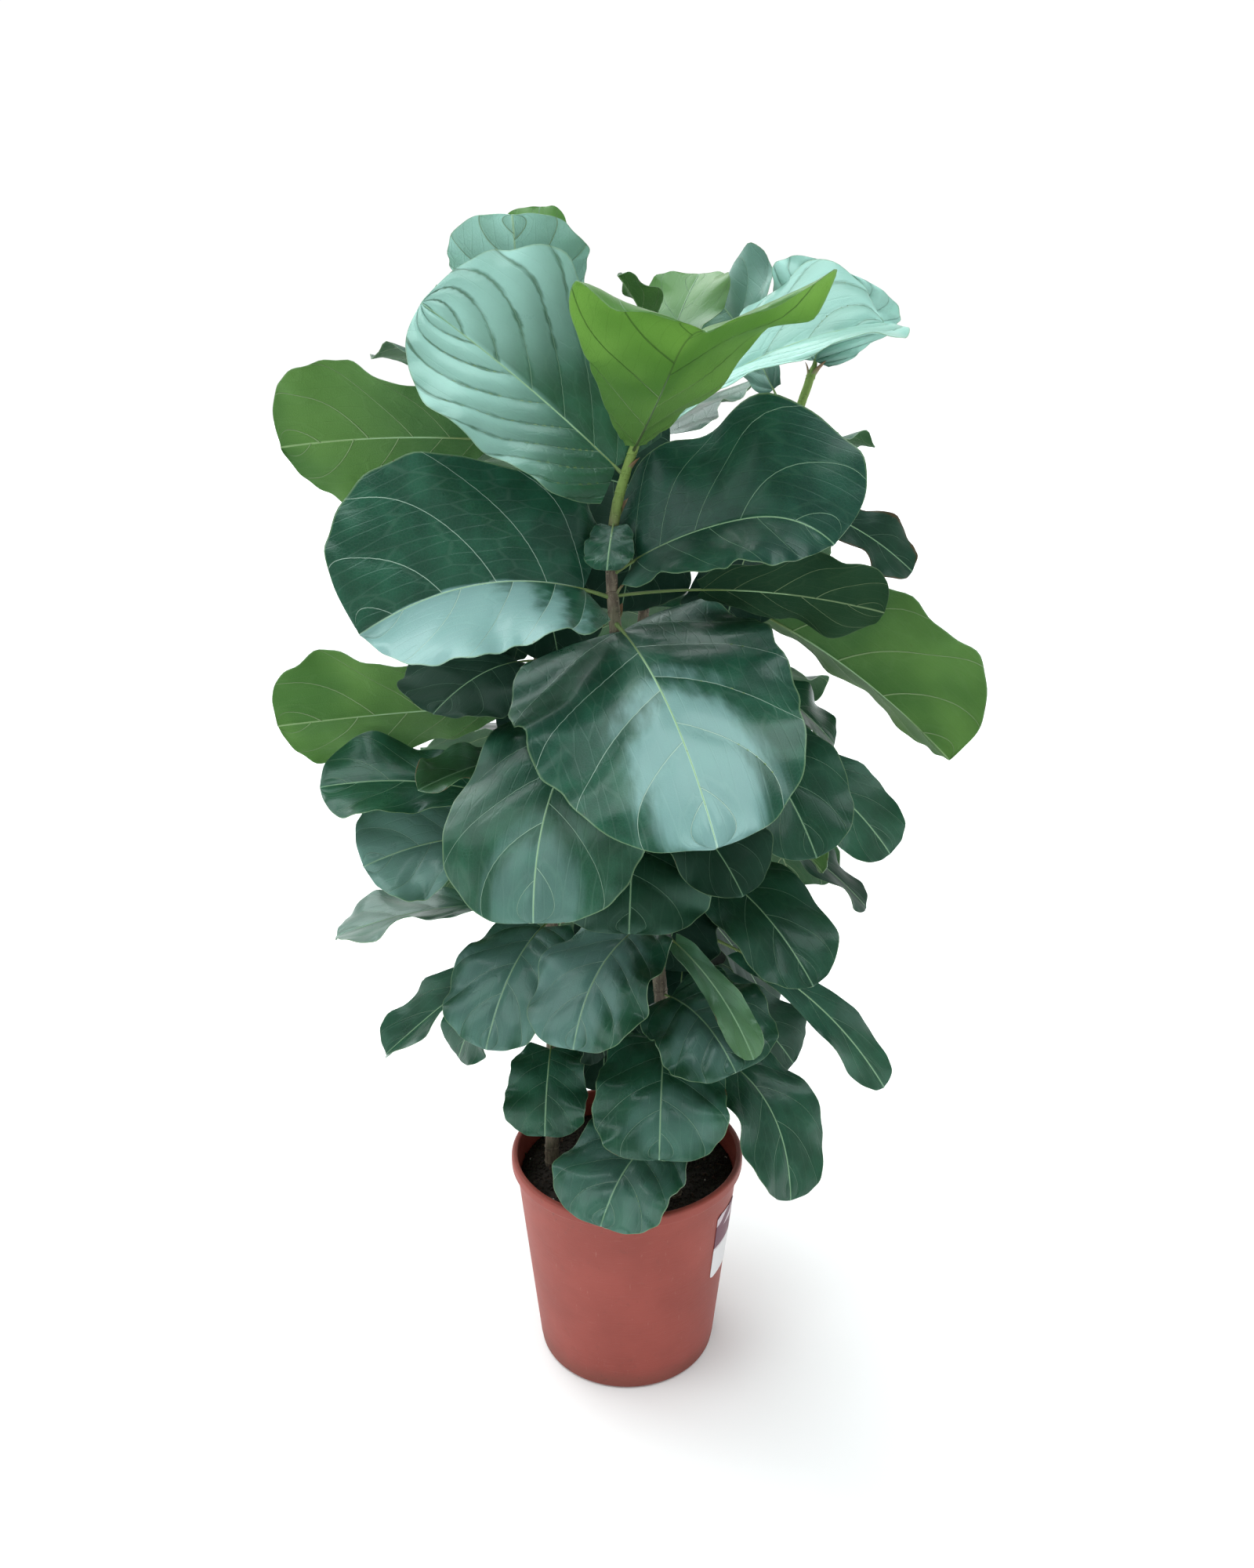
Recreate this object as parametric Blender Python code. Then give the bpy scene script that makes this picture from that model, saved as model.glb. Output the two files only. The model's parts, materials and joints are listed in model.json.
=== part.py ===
"""Potted fiddle leaf fig: a nursery pot of soil with four leafy stems. Metres, +Z up."""
import math

import bpy
import numpy as np

for old in list(bpy.data.objects):
    bpy.data.objects.remove(old, do_unlink=True)

# pot
POT_H = 0.225
POT_RIM_R = 0.120
POT_BASE_R = 0.0925
POT_WALL = 0.0028
POT_FLOOR = 0.0040
RIM_TALL = 0.012
RIM_PROUD = 0.0035
POT_SIDES = 32
DRAIN_RING_R = 0.058
DRAIN_R = 0.006
DRAIN_COUNT = 6
# soil
SOIL_TOP = 0.200
HOLE_FLOOR = 0.169
GAP = 0.0003
# label on the pot wall
LABEL_TALL = 0.078
LABEL_MID_Z = 0.148
LABEL_FROM = -36.0
LABEL_TO = -14.0
LABEL_THICK = 0.0006
# stems
STEM_SIDES = 7
STEM_RINGS = 10
ROOT_R = 0.0075
APEX_R = 0.0040
BUD_LONG = 0.022
# leaves
BLADE_THICK = 0.0010
STALK_ROOT_R = 0.0026
STALK_TIP_R = 0.00035
STALK_SIDES = 4

# centre lines of the stems, from the bottom of the planting hole to the growing tip
STEMS = {
    "front": ((0.050, -0.050, 0.170), (0.030, -0.045, 0.450), (-0.008, -0.025, 0.750),
              (-0.012, -0.008, 0.860), (0.008, 0.000, 0.935)),
    "left": ((-0.080, 0.005, 0.170), (-0.075, 0.015, 0.450), (-0.085, 0.050, 0.750),
             (-0.098, 0.100, 1.040)),
    "right": ((0.050, 0.040, 0.170), (0.060, 0.040, 0.450), (0.095, 0.065, 0.750),
              (0.172, 0.110, 0.985)),
    "back": ((-0.020, 0.070, 0.170), (-0.012, 0.085, 0.500), (0.020, 0.120, 0.800),
             (0.030, 0.150, 1.000)),
}

# blade outlines: (place on the midrib, place of the edge, half width), as shares of the blade
OUTLINES = {
    "fiddle": ((0.00, -0.05, 0.40), (0.08, 0.09, 0.64), (0.19, 0.25, 0.66), (0.32, 0.42, 0.76),
               (0.46, 0.59, 0.93), (0.61, 0.75, 1.00), (0.76, 0.89, 0.84), (0.90, 0.97, 0.48),
               (1.00, 1.00, 0.00)),
    "broad": ((0.00, -0.06, 0.48), (0.08, 0.09, 0.78), (0.19, 0.25, 0.86), (0.32, 0.42, 0.94),
              (0.46, 0.59, 1.00), (0.61, 0.75, 0.95), (0.76, 0.89, 0.72), (0.90, 0.97, 0.40),
              (1.00, 1.00, 0.00)),
    "wedge": ((0.00, -0.01, 0.10), (0.08, 0.06, 0.20), (0.19, 0.20, 0.38), (0.32, 0.38, 0.56),
              (0.46, 0.56, 0.76), (0.61, 0.75, 0.95), (0.77, 0.93, 1.00), (0.91, 1.03, 0.55),
              (1.00, 1.00, 0.00)),
    "pear": ((0.00, -0.03, 0.22), (0.08, 0.07, 0.44), (0.19, 0.23, 0.60), (0.32, 0.42, 0.78),
             (0.46, 0.60, 0.96), (0.61, 0.76, 1.00), (0.76, 0.90, 0.82), (0.90, 0.98, 0.46),
             (1.00, 1.00, 0.00)),
    "paddle": ((0.00, -0.01, 0.14), (0.08, 0.09, 0.26), (0.19, 0.25, 0.32), (0.32, 0.42, 0.44),
               (0.46, 0.57, 0.70), (0.61, 0.73, 0.97), (0.77, 0.89, 1.00), (0.91, 1.00, 0.55),
               (1.00, 1.00, 0.00)),
    "spade": ((0.00, -0.02, 0.18), (0.08, 0.07, 0.34), (0.19, 0.24, 0.50), (0.32, 0.43, 0.66),
              (0.46, 0.62, 0.86), (0.61, 0.79, 1.00), (0.76, 0.93, 0.93), (0.90, 1.00, 0.56),
              (1.00, 1.00, 0.00)),
    "heart": ((0.00, -0.14, 0.70), (0.08, 0.02, 0.95), (0.19, 0.18, 1.00), (0.32, 0.35, 1.00),
              (0.46, 0.52, 0.95), (0.61, 0.69, 0.85), (0.76, 0.85, 0.67), (0.90, 0.96, 0.38),
              (1.00, 1.00, 0.00)),
    "round": ((0.00, -0.07, 0.50), (0.08, 0.08, 0.80), (0.19, 0.24, 0.88), (0.32, 0.41, 0.95),
              (0.46, 0.58, 1.00), (0.61, 0.75, 0.98), (0.76, 0.90, 0.80), (0.90, 0.99, 0.46),
              (1.00, 1.00, 0.00)),
}


def leaf(stem, height, heading, reach, rise, width, shape="fiddle", stalk=0.03, arch=0.15, side=0.0,
         roll=0.0, fold=8.0, fold_left=None, fold_right=None, curl=0.0, more=0.0, hook=0.0, wave=0.008):
    """One leaf: where it leaves its stem, where its tip goes (degrees and metres), and its form."""
    left = fold if fold_left is None else fold_left
    right = fold if fold_right is None else fold_right
    return {"stem": stem, "height": height, "heading": heading, "reach": reach, "rise": rise,
            "width": width, "shape": shape, "stalk": stalk, "arch": arch, "side": side, "roll": roll,
            "left": left, "right": right, "curl": curl, "more": more, "hook": hook, "wave": wave}


LEAVES = [
    # front stem, from the top down
    leaf("front", 0.905, 180, 0.172, 0.142, 0.184, "broad", 0.012, 0.04, roll=-62, fold=6,
         curl=10, more=-0.14),
    leaf("front", 0.925, -70, 0.145, 0.118, 0.210, "wedge", 0.010, -0.05, fold=17, more=0.1,
         hook=55, wave=0.014),
    leaf("front", 0.930, 19, 0.240, 0.105, 0.155, "paddle", 0.020, 0.16, roll=26, fold=20),
    leaf("front", 0.868, -100, 0.036, -0.040, 0.044, "round", 0.010, 0.12, fold=4, wave=0.004),
    leaf("front", 0.820, -24, 0.205, 0.060, 0.175, "broad", 0.030, 0.17, roll=45, fold=20,
         more=0.14, hook=40),
    leaf("front", 0.800, -159, 0.225, -0.018, 0.238, "broad", 0.030, 0.25, roll=-50,
         fold_left=34, fold_right=18),
    leaf("front", 0.802, -4, 0.240, -0.012, 0.092, "pear", 0.080, 0.10, roll=-55, fold=10),
    leaf("front", 0.779, -70, 0.232, -0.134, 0.234, "heart", 0.022, 0.18, roll=10,
         fold_left=0, fold_right=-16, more=-0.03),
    leaf("front", 0.710, -113, 0.185, -0.145, 0.178, "round", 0.030, 0.30, side=-0.1, fold=-2),
    leaf("front", 0.620, -50, 0.140, -0.055, 0.100, "broad", 0.020, 0.30, roll=10),
    leaf("front", 0.610, -95, 0.095, -0.085, 0.140, "round", 0.020, 0.30, fold=0),
    leaf("front", 0.500, -124, 0.128, -0.078, 0.118, "round", 0.020, 0.30, side=-0.08, fold=0),
    leaf("front", 0.495, -40, 0.118, -0.100, 0.036, "fiddle", 0.030, 0.20, roll=40, fold=20),
    leaf("front", 0.425, -50, 0.103, -0.040, 0.120, "round", 0.015, 0.30, roll=15),
    leaf("front", 0.380, -94, 0.095, -0.075, 0.125, "round", 0.010, 0.30),
    leaf("front", 0.272, -125, 0.118, -0.036, 0.128, "round", 0.020, 0.35, side=-0.05),
    # left stem
    leaf("left", 1.030, 79, 0.075, 0.115, 0.065, "pear", 0.010, -0.05, fold=10),
    leaf("left", 1.020, -93, 0.040, 0.105, 0.130, "broad", 0.010, -0.10, fold=14, hook=25),
    leaf("left", 0.980, 146, 0.098, 0.090, 0.070, "fiddle", 0.020, -0.10, fold=20),
    leaf("left", 0.960, 120, 0.250, 0.040, 0.160, "fiddle", 0.040, 0.15, fold=10),
    leaf("left", 0.930, 171, 0.245, -0.005, 0.150, "pear", 0.050, 0.06, roll=62, fold=10),
    leaf("left", 0.905, -12, 0.120, -0.020, 0.185, "broad", 0.015, 0.10, roll=55),
    leaf("left", 0.850, 133, 0.250, -0.030, 0.170, "fiddle", 0.040, 0.20),
    leaf("left", 0.820, -60, 0.048, -0.084, 0.098, "broad", 0.010, 0.10, fold=4),
    leaf("left", 0.780, 125, 0.280, -0.080, 0.160, "fiddle", 0.040, 0.25, fold=5),
    leaf("left", 0.770, 168, 0.120, -0.050, 0.110, "broad", 0.020, 0.10, roll=60, fold=6),
    leaf("left", 0.730, -128, 0.140, -0.025, 0.125, "fiddle", 0.030, 0.20, roll=-10, fold=5),
    leaf("left", 0.705, -95, 0.035, -0.045, 0.080, "broad", 0.010, 0.10, fold=4),
    leaf("left", 0.690, -179, 0.255, -0.022, 0.152, "pear", 0.050, 0.02, roll=60, fold=10, more=-0.06),
    leaf("left", 0.650, 111, 0.250, -0.110, 0.160, "fiddle", 0.040, 0.30, fold=5),
    leaf("left", 0.640, -132, 0.155, 0.000, 0.050, "fiddle", 0.030, 0.10, roll=-30, fold=30),
    leaf("left", 0.580, -172, 0.215, 0.038, 0.105, "fiddle", 0.050, 0.17, roll=-30, fold=10),
    leaf("left", 0.550, -161, 0.180, 0.000, 0.120, "fiddle", 0.040, 0.20, roll=-40, fold=10),
    leaf("left", 0.540, 120, 0.200, -0.130, 0.130, "fiddle", 0.030, 0.35, fold=5),
    leaf("left", 0.485, -169, 0.210, -0.012, 0.120, "fiddle", 0.050, 0.15, roll=6),
    leaf("left", 0.475, -115, 0.130, -0.080, 0.115, "broad", 0.020, 0.30, fold=5),
    leaf("left", 0.465, 178, 0.175, -0.145, 0.065, "fiddle", 0.030, 0.05, roll=-30, fold=30),
    leaf("left", 0.440, 161, 0.110, -0.140, 0.070, "fiddle", 0.030, 0.20, roll=-60),
    leaf("left", 0.410, -30, 0.060, -0.070, 0.095, "broad", 0.020, 0.30),
    leaf("left", 0.360, 110, 0.160, -0.070, 0.100, "fiddle", 0.030, 0.40, fold=5),
    leaf("left", 0.350, -94, 0.072, -0.072, 0.082, "round", 0.020, 0.30),
    # right stem
    leaf("right", 0.985, 17, 0.033, 0.098, 0.130, "pear", 0.020, 0.05, roll=75, fold=6),
    leaf("right", 0.940, 118, 0.140, 0.128, 0.130, "paddle", 0.050, 0.10, roll=-66),
    leaf("right", 0.925, 62, 0.150, -0.010, 0.100, "fiddle", 0.040, 0.12, fold=10),
    leaf("right", 0.880, 4, 0.146, -0.072, 0.066, "fiddle", 0.040, 0.15, roll=50, fold=10),
    leaf("right", 0.840, -112, 0.080, -0.070, 0.095, "fiddle", 0.020, 0.10, fold=8),
    leaf("right", 0.785, -14, 0.212, -0.146, 0.202, "broad", 0.025, 0.10, roll=-68,
         fold_left=50, fold_right=0),
    leaf("right", 0.730, 20, 0.130, -0.100, 0.070, "fiddle", 0.030, 0.10, roll=40),
    leaf("right", 0.690, 68, 0.250, -0.060, 0.130, "fiddle", 0.040, 0.25, fold=5),
    leaf("right", 0.680, -53, 0.150, -0.110, 0.115, "broad", 0.020, 0.20, roll=30),
    leaf("right", 0.660, -2, 0.185, -0.128, 0.080, "fiddle", 0.040, 0.20, roll=60),
    leaf("right", 0.640, 58, 0.240, -0.120, 0.150, "fiddle", 0.040, 0.30, fold=5),
    leaf("right", 0.600, -33, 0.135, -0.060, 0.070, "fiddle", 0.030, 0.20, roll=-50),
    leaf("right", 0.585, 3, 0.175, -0.115, 0.060, "fiddle", 0.040, 0.15, roll=20),
    leaf("right", 0.560, 55, 0.215, -0.130, 0.140, "fiddle", 0.030, 0.30, fold=5),
    leaf("right", 0.530, -50, 0.165, -0.080, 0.105, "broad", 0.010, 0.20, roll=15),
    leaf("right", 0.515, -120, 0.055, -0.085, 0.105, "broad", 0.012, 0.12, fold=4),
    leaf("right", 0.485, 45, 0.150, -0.200, 0.090, "fiddle", 0.030, 0.10, roll=60),
    leaf("right", 0.455, -9, 0.208, -0.165, 0.050, "fiddle", 0.060, 0.19, roll=50),
    leaf("right", 0.425, -100, 0.050, -0.085, 0.085, "broad", 0.012, 0.12, fold=4),
    leaf("right", 0.400, 75, 0.190, -0.110, 0.110, "fiddle", 0.030, 0.35, fold=5),
    leaf("right", 0.405, 12, 0.125, -0.120, 0.080, "fiddle", 0.030, 0.14, roll=60),
    leaf("right", 0.330, -46, 0.155, -0.118, 0.098, "broad", 0.045, 0.40, side=0.15, roll=10),
    # back stem
    leaf("back", 1.000, -150, 0.045, 0.080, 0.050, "fiddle", 0.005, 0.15, fold=30),
    leaf("back", 0.960, 60, 0.090, 0.130, 0.100, "fiddle", 0.020, 0.15, fold=10),
    leaf("back", 0.920, 80, 0.215, 0.045, 0.170, "fiddle", 0.040, 0.12, fold=12),
    leaf("back", 0.880, 122, 0.270, 0.010, 0.190, "fiddle", 0.040, 0.15, fold=10),
    leaf("back", 0.820, 58, 0.280, -0.040, 0.200, "fiddle", 0.040, 0.20),
    leaf("back", 0.760, 98, 0.275, -0.080, 0.200, "fiddle", 0.040, 0.25, fold=5),
    leaf("back", 0.690, 86, 0.260, -0.120, 0.190, "fiddle", 0.040, 0.30, fold=5),
    leaf("back", 0.600, 109, 0.245, -0.140, 0.170, "fiddle", 0.030, 0.30, fold=5),
    leaf("back", 0.520, 80, 0.230, -0.140, 0.160, "fiddle", 0.030, 0.35, fold=5),
    leaf("back", 0.450, 113, 0.195, -0.130, 0.130, "fiddle", 0.030, 0.35, fold=5),
    leaf("back", 0.380, 77, 0.155, -0.110, 0.120, "fiddle", 0.030, 0.40, fold=5),
    leaf("back", 0.870, -112, 0.080, -0.094, 0.132, "broad", 0.015, 0.15, fold=4),
    leaf("back", 0.695, -105, 0.075, -0.085, 0.115, "broad", 0.015, 0.20, fold=4),
    leaf("back", 0.580, -88, 0.058, -0.080, 0.115, "broad", 0.015, 0.20, fold=4),
    leaf("back", 0.485, -96, 0.058, -0.060, 0.075, "round", 0.015, 0.20, fold=4),
    leaf("back", 0.375, -98, 0.060, -0.096, 0.084, "broad", 0.012, 0.20, fold=4),
]


def unit(v):
    return v / max(float(np.linalg.norm(v)), 1e-9)


def smooth_through(points, places):
    """Catmull-Rom curve through the rows of points, read at the given places (row numbers)."""
    points = np.asarray(points, float)
    last = len(points) - 1
    i = np.clip(np.asarray(places, float).astype(int), 0, last - 1)
    f = (np.asarray(places, float) - i)[:, None]
    p0, p1 = points[np.maximum(i - 1, 0)], points[i]
    p2, p3 = points[i + 1], points[np.minimum(i + 2, last)]
    return 0.5 * (2 * p1 + (p2 - p0) * f + (2 * p0 - 5 * p1 + 4 * p2 - p3) * f ** 2
                  + (3 * p1 - p0 - 3 * p2 + p3) * f ** 3)


def stem_line(name):
    """The stem's centre line as many close points."""
    points = STEMS[name]
    return smooth_through(points, np.linspace(0, len(points) - 1, 121))


def stem_at(name, height):
    line = stem_line(name)
    return np.array([np.interp(height, line[:, 2], line[:, axis]) for axis in range(3)])


def midrib(spec, count=61):
    """The leaf's centre line from the stem to the tip: length run, points, along, across, up."""
    start = stem_at(spec["stem"], spec["height"])
    turn = math.radians(spec["heading"])
    ahead = np.array([math.cos(turn), math.sin(turn), 0.0])
    end = start + spec["reach"] * ahead + np.array([0.0, 0.0, spec["rise"]])
    long = float(np.linalg.norm(end - start))
    chord = (end - start) / long
    across = unit(np.cross([0.0, 0.0, 1.0], ahead))
    up = np.cross(chord, across)
    bend = (start + end) / 2 + spec["arch"] * long * up + spec["side"] * long * across
    u = np.linspace(0, 1, count)[:, None]
    points = (1 - u) ** 2 * start + 2 * u * (1 - u) * bend + u ** 2 * end
    along = 2 * (1 - u) * (bend - start) + 2 * u * (end - bend)
    along /= np.linalg.norm(along, axis=1)[:, None]
    across = across - (along @ across)[:, None] * along
    across /= np.linalg.norm(across, axis=1)[:, None]
    up = np.cross(along, across)
    steps = np.linalg.norm(np.diff(points, axis=0), axis=1)
    run = np.concatenate([[0.0], np.cumsum(steps)])
    if spec["hook"]:
        droop = np.radians(spec["hook"]) * np.clip((run / run[-1] - 0.62) / 0.38, 0, 1) ** 1.3
        c, s = np.cos(droop)[:, None], np.sin(droop)[:, None]
        along, up = along * c - up * s, up * c + along * s
        middle = (along[1:] + along[:-1]) / 2
        points = np.vstack([points[:1], points[0] + np.cumsum(middle * steps[:, None], axis=0)])
    c, s = math.cos(math.radians(spec["roll"])), math.sin(math.radians(spec["roll"]))
    across, up = across * c + up * s, up * c - across * s
    return run, points, along, across, up


def read_at(run, rows, where):
    where = np.clip(where, run[0], run[-1])
    return np.stack([np.interp(where, run, rows[:, axis]) for axis in range(3)], -1)


def blade_grid(spec, index, rows, cols):
    """The blade's middle surface as a grid: rows from base to tip, columns right edge to left edge."""
    run, points, along, across, up = midrib(spec)
    blade = run[-1] - spec["stalk"]
    half = spec["width"] / 2
    knots = OUTLINES[spec["shape"]]
    edge = smooth_through(knots, np.linspace(0, len(knots) - 1, rows))
    share = np.linspace(-1, 1, 2 * cols + 1)
    out = np.abs(share)
    sign = np.sign(share)[None, :]
    lead = 0.75 + 0.85 * np.clip(4 * np.arange(rows) / (rows - 1), 0, 1)[:, None]
    forward = (edge[:, 0:1] + (edge[:, 1:2] - edge[:, 0:1]) * out ** lead) * blade
    aside = np.maximum(edge[:, 2:3], 0) * half * out * (1 + spec["more"] * sign)
    where = spec["stalk"] + forward
    tilt = np.where(sign > 0, spec["left"], spec["right"]) + 0.5 * spec["curl"] * aside / half
    tilt = np.radians(tilt)
    draw = np.random.default_rng(100 + index).uniform(0, 2 * math.pi, 2)
    phase = np.where(sign > 0, draw[0], draw[1])
    lift = spec["wave"] * (aside / half) ** 2 * np.sin(2 * math.pi * 2.3 * forward / blade + phase)
    return (read_at(run, points, where)
            + (sign * aside * np.cos(tilt))[..., None] * read_at(run, across, where)
            + (aside * np.sin(tilt) + lift)[..., None] * read_at(run, up, where))


def blade_solid(grid, thick):
    """Closed thin solid round a grid whose last row is one point; both faces are cut alike."""
    rows, cols = grid.shape[:2]
    normal = np.cross(np.gradient(grid, axis=0), np.gradient(grid, axis=1))
    normal /= np.maximum(np.linalg.norm(normal, axis=-1, keepdims=True), 1e-12)
    normal[-1] = normal[-2, cols // 2]
    points = []
    index = np.zeros((2, rows, cols), int)
    for face, shift in ((0, thick / 2), (1, -thick / 2)):
        for i in range(rows - 1):
            for j in range(cols):
                index[face, i, j] = len(points)
                points.append(grid[i, j] + shift * normal[i, j])
        index[face, rows - 1, :] = len(points)
        points.append(grid[rows - 1, cols // 2] + shift * normal[rows - 1, 0])
    faces = []
    for i in range(rows - 1):
        for j in range(cols - 1):
            a, b, c, d = (i, j), (i + 1, j), (i + 1, j + 1), (i, j + 1)
            pieces = ((a, b, d), (b, c, d)) if j < cols // 2 else ((a, b, c), (a, c, d))
            if i == rows - 2:
                pieces = ((a, b, d),)
            for piece in pieces:
                faces.append([int(index[0][p]) for p in piece])
                faces.append([int(index[1][p]) for p in reversed(piece)])
    border = [(0, j) for j in range(cols)] + [(i, cols - 1) for i in range(1, rows)]
    border += [(i, 0) for i in range(rows - 2, 0, -1)]
    for a, b in zip(border, border[1:] + border[:1]):
        faces.append([int(index[0][a]), int(index[0][b]), int(index[1][b])])
        faces.append([int(index[0][a]), int(index[1][b]), int(index[1][a])])
    return points, faces


def tube(centres, radii, sides, turn=0.0):
    """Closed tube through centres; the first and last rings are capped."""
    centres = np.asarray(centres, float)
    along = np.gradient(centres, axis=0)
    along /= np.linalg.norm(along, axis=1)[:, None]
    first = np.array([1.0, 0.0, 0.0]) if abs(along[0][0]) < 0.8 else np.array([0.0, 0.0, 1.0])
    points = []
    for centre, way, radius in zip(centres, along, radii):
        u = unit(first - way * float(first @ way))
        v = np.cross(way, u)
        first = u
        for k in range(sides):
            angle = turn + 2 * math.pi * k / sides
            points.append(centre + radius * (math.cos(angle) * u + math.sin(angle) * v))
    faces = []
    for ring in range(len(centres) - 1):
        for k in range(sides):
            a, b = ring * sides + k, ring * sides + (k + 1) % sides
            faces.append([a, b, b + sides])
            faces.append([a, b + sides, a + sides])
    last = (len(centres) - 1) * sides
    faces.append(list(range(sides))[::-1])
    faces.append([last + k for k in range(sides)])
    return points, faces


def add_object(name, points, faces):
    mesh = bpy.data.meshes.new(name)
    mesh.from_pydata([tuple(float(c) for c in p) for p in points], [], faces)
    mesh.update()
    obj = bpy.data.objects.new(name, mesh)
    bpy.context.scene.collection.objects.link(obj)
    return obj


def paint(obj, color, roughness):
    mat = bpy.data.materials.new(obj.name)
    mat.use_nodes = True
    shader = mat.node_tree.nodes["Principled BSDF"]
    shader.inputs["Base Color"].default_value = (*color, 1.0)
    shader.inputs["Roughness"].default_value = roughness
    mat.diffuse_color = (*color, 1.0)
    obj.data.materials.clear()
    obj.data.materials.append(mat)


def combine(obj, others, operation):
    """One Boolean with everything in others, applied; others are then removed."""
    group = bpy.data.collections.new(obj.name + "_parts")
    bpy.context.scene.collection.children.link(group)
    for other in others:
        group.objects.link(other)
        bpy.context.scene.collection.objects.unlink(other)
        other.hide_render = True
        other.display_type = "WIRE"
    boolean = obj.modifiers.new("join", "BOOLEAN")
    boolean.operation = operation
    boolean.operand_type = "COLLECTION"
    boolean.collection = group
    boolean.solver = "MANIFOLD"
    bpy.context.view_layer.update()
    graph = bpy.context.evaluated_depsgraph_get()
    result = bpy.data.meshes.new_from_object(obj.evaluated_get(graph), depsgraph=graph)
    obj.modifiers.clear()
    before = obj.data
    obj.data = result
    result.name = obj.name
    bpy.data.meshes.remove(before)
    for other in others:
        bpy.data.objects.remove(other, do_unlink=True)
    bpy.data.collections.remove(group)


def lathe(name, profile, sides):
    """Closed body turned about Z from an outline that starts and ends on the axis."""
    points = [(0.0, 0.0, profile[0][1])]
    rings = profile[1:-1]
    for radius, height in rings:
        for k in range(sides):
            angle = 2 * math.pi * k / sides
            points.append((radius * math.cos(angle), radius * math.sin(angle), height))
    points.append((0.0, 0.0, profile[-1][1]))
    faces = []
    for k in range(sides):
        n = (k + 1) % sides
        faces.append([0, 1 + n, 1 + k])
        for ring in range(len(rings) - 1):
            a, b = 1 + ring * sides + k, 1 + ring * sides + n
            faces.append([a, b, b + sides, a + sides])
        top = 1 + (len(rings) - 1) * sides
        faces.append([top + k, top + n, len(points) - 1])
    return add_object(name, points, faces)


def wall_radius(z):
    """Outer radius of the pot's plain wall."""
    return POT_BASE_R + (POT_RIM_R - RIM_PROUD - POT_BASE_R) * z / POT_H


def cutter(name, centres, radius, sides):
    points, faces = tube(centres, [radius] * len(centres), sides)
    return add_object(name, points, faces)


def build_pot():
    top = POT_H
    under = POT_H - RIM_TALL
    inner_top = wall_radius(POT_H) - POT_WALL
    profile = [(0.0, 0.0), (POT_BASE_R - 0.003, 0.0), (POT_BASE_R, 0.003),
               (wall_radius(under), under),
               (POT_RIM_R - 0.0010, under + 0.0010), (POT_RIM_R, under + 0.0040),
               (POT_RIM_R, top - 0.0030), (POT_RIM_R - 0.0015, top - 0.0006),
               (POT_RIM_R - 0.0030, top), (inner_top + 0.0010, top - 0.0006),
               (inner_top, top - 0.0030),
               (POT_BASE_R - POT_WALL, POT_FLOOR + 0.002),
               (POT_BASE_R - POT_WALL - 0.002, POT_FLOOR), (0.0, POT_FLOOR)]
    pot = lathe("pot", profile, POT_SIDES)
    holes = []
    for k in range(DRAIN_COUNT):
        angle = 2 * math.pi * (k + 0.5) / DRAIN_COUNT
        x, y = DRAIN_RING_R * math.cos(angle), DRAIN_RING_R * math.sin(angle)
        holes.append(cutter("drain", [(x, y, -0.002), (x, y, POT_FLOOR + 0.002)], DRAIN_R, 8))
    combine(pot, holes, "DIFFERENCE")
    paint(pot, (0.35, 0.09, 0.06), 0.5)


def build_soil():
    bottom = POT_FLOOR + GAP
    low_r = POT_BASE_R - POT_WALL - 0.002 - GAP
    slope = (wall_radius(POT_H) - POT_BASE_R) / (POT_H - 0.009)

    def bore(z):
        return POT_BASE_R - POT_WALL + slope * (z - POT_FLOOR - 0.002) - 2 * GAP

    profile = [(0.0, bottom), (low_r, bottom), (bore(0.010), 0.010),
               (bore(SOIL_TOP - 0.003), SOIL_TOP - 0.003), (bore(SOIL_TOP) - 0.004, SOIL_TOP),
               (0.0, SOIL_TOP)]
    soil = lathe("soil", profile, POT_SIDES)
    holes = []
    for name in STEMS:
        foot = stem_at(name, 0.171)
        exit_point = stem_at(name, SOIL_TOP + 0.01)
        x, y = (foot[0] + exit_point[0]) / 2, (foot[1] + exit_point[1]) / 2
        holes.append(cutter("hole", [(x, y, HOLE_FLOOR), (x, y, SOIL_TOP + 0.01)], ROOT_R + 0.0018, 12))
    combine(soil, holes, "DIFFERENCE")
    paint(soil, (0.025, 0.018, 0.014), 0.95)


def build_label():
    """A thin curved patch that follows the pot's wall without touching it."""
    cols, rows = 6, 1
    points, faces = [], []
    for side in (0, 1):
        for i in range(rows + 1):
            z = LABEL_MID_Z + LABEL_TALL * (i / rows - 0.5)
            for j in range(cols + 1):
                angle = math.radians(LABEL_FROM + (LABEL_TO - LABEL_FROM) * j / cols)
                radius = wall_radius(z) + GAP + side * LABEL_THICK
                points.append((radius * math.cos(angle), radius * math.sin(angle), z))
    step = (rows + 1) * (cols + 1)

    def spot(side, i, j):
        return side * step + i * (cols + 1) + j

    for i in range(rows):
        for j in range(cols):
            faces.append([spot(1, i, j), spot(1, i, j + 1), spot(1, i + 1, j + 1), spot(1, i + 1, j)])
            faces.append([spot(0, i, j), spot(0, i + 1, j), spot(0, i + 1, j + 1), spot(0, i, j + 1)])
    rim = [(0, j) for j in range(cols + 1)] + [(i, cols) for i in range(1, rows + 1)]
    rim += [(rows, j) for j in range(cols - 1, -1, -1)] + [(i, 0) for i in range(rows - 1, 0, -1)]
    for a, b in zip(rim, rim[1:] + rim[:1]):
        faces.append([spot(0, *a), spot(0, *b), spot(1, *b), spot(1, *a)])
    label = add_object("pot_label", points, faces)
    paint(label, (0.85, 0.82, 0.82), 0.5)


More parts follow.
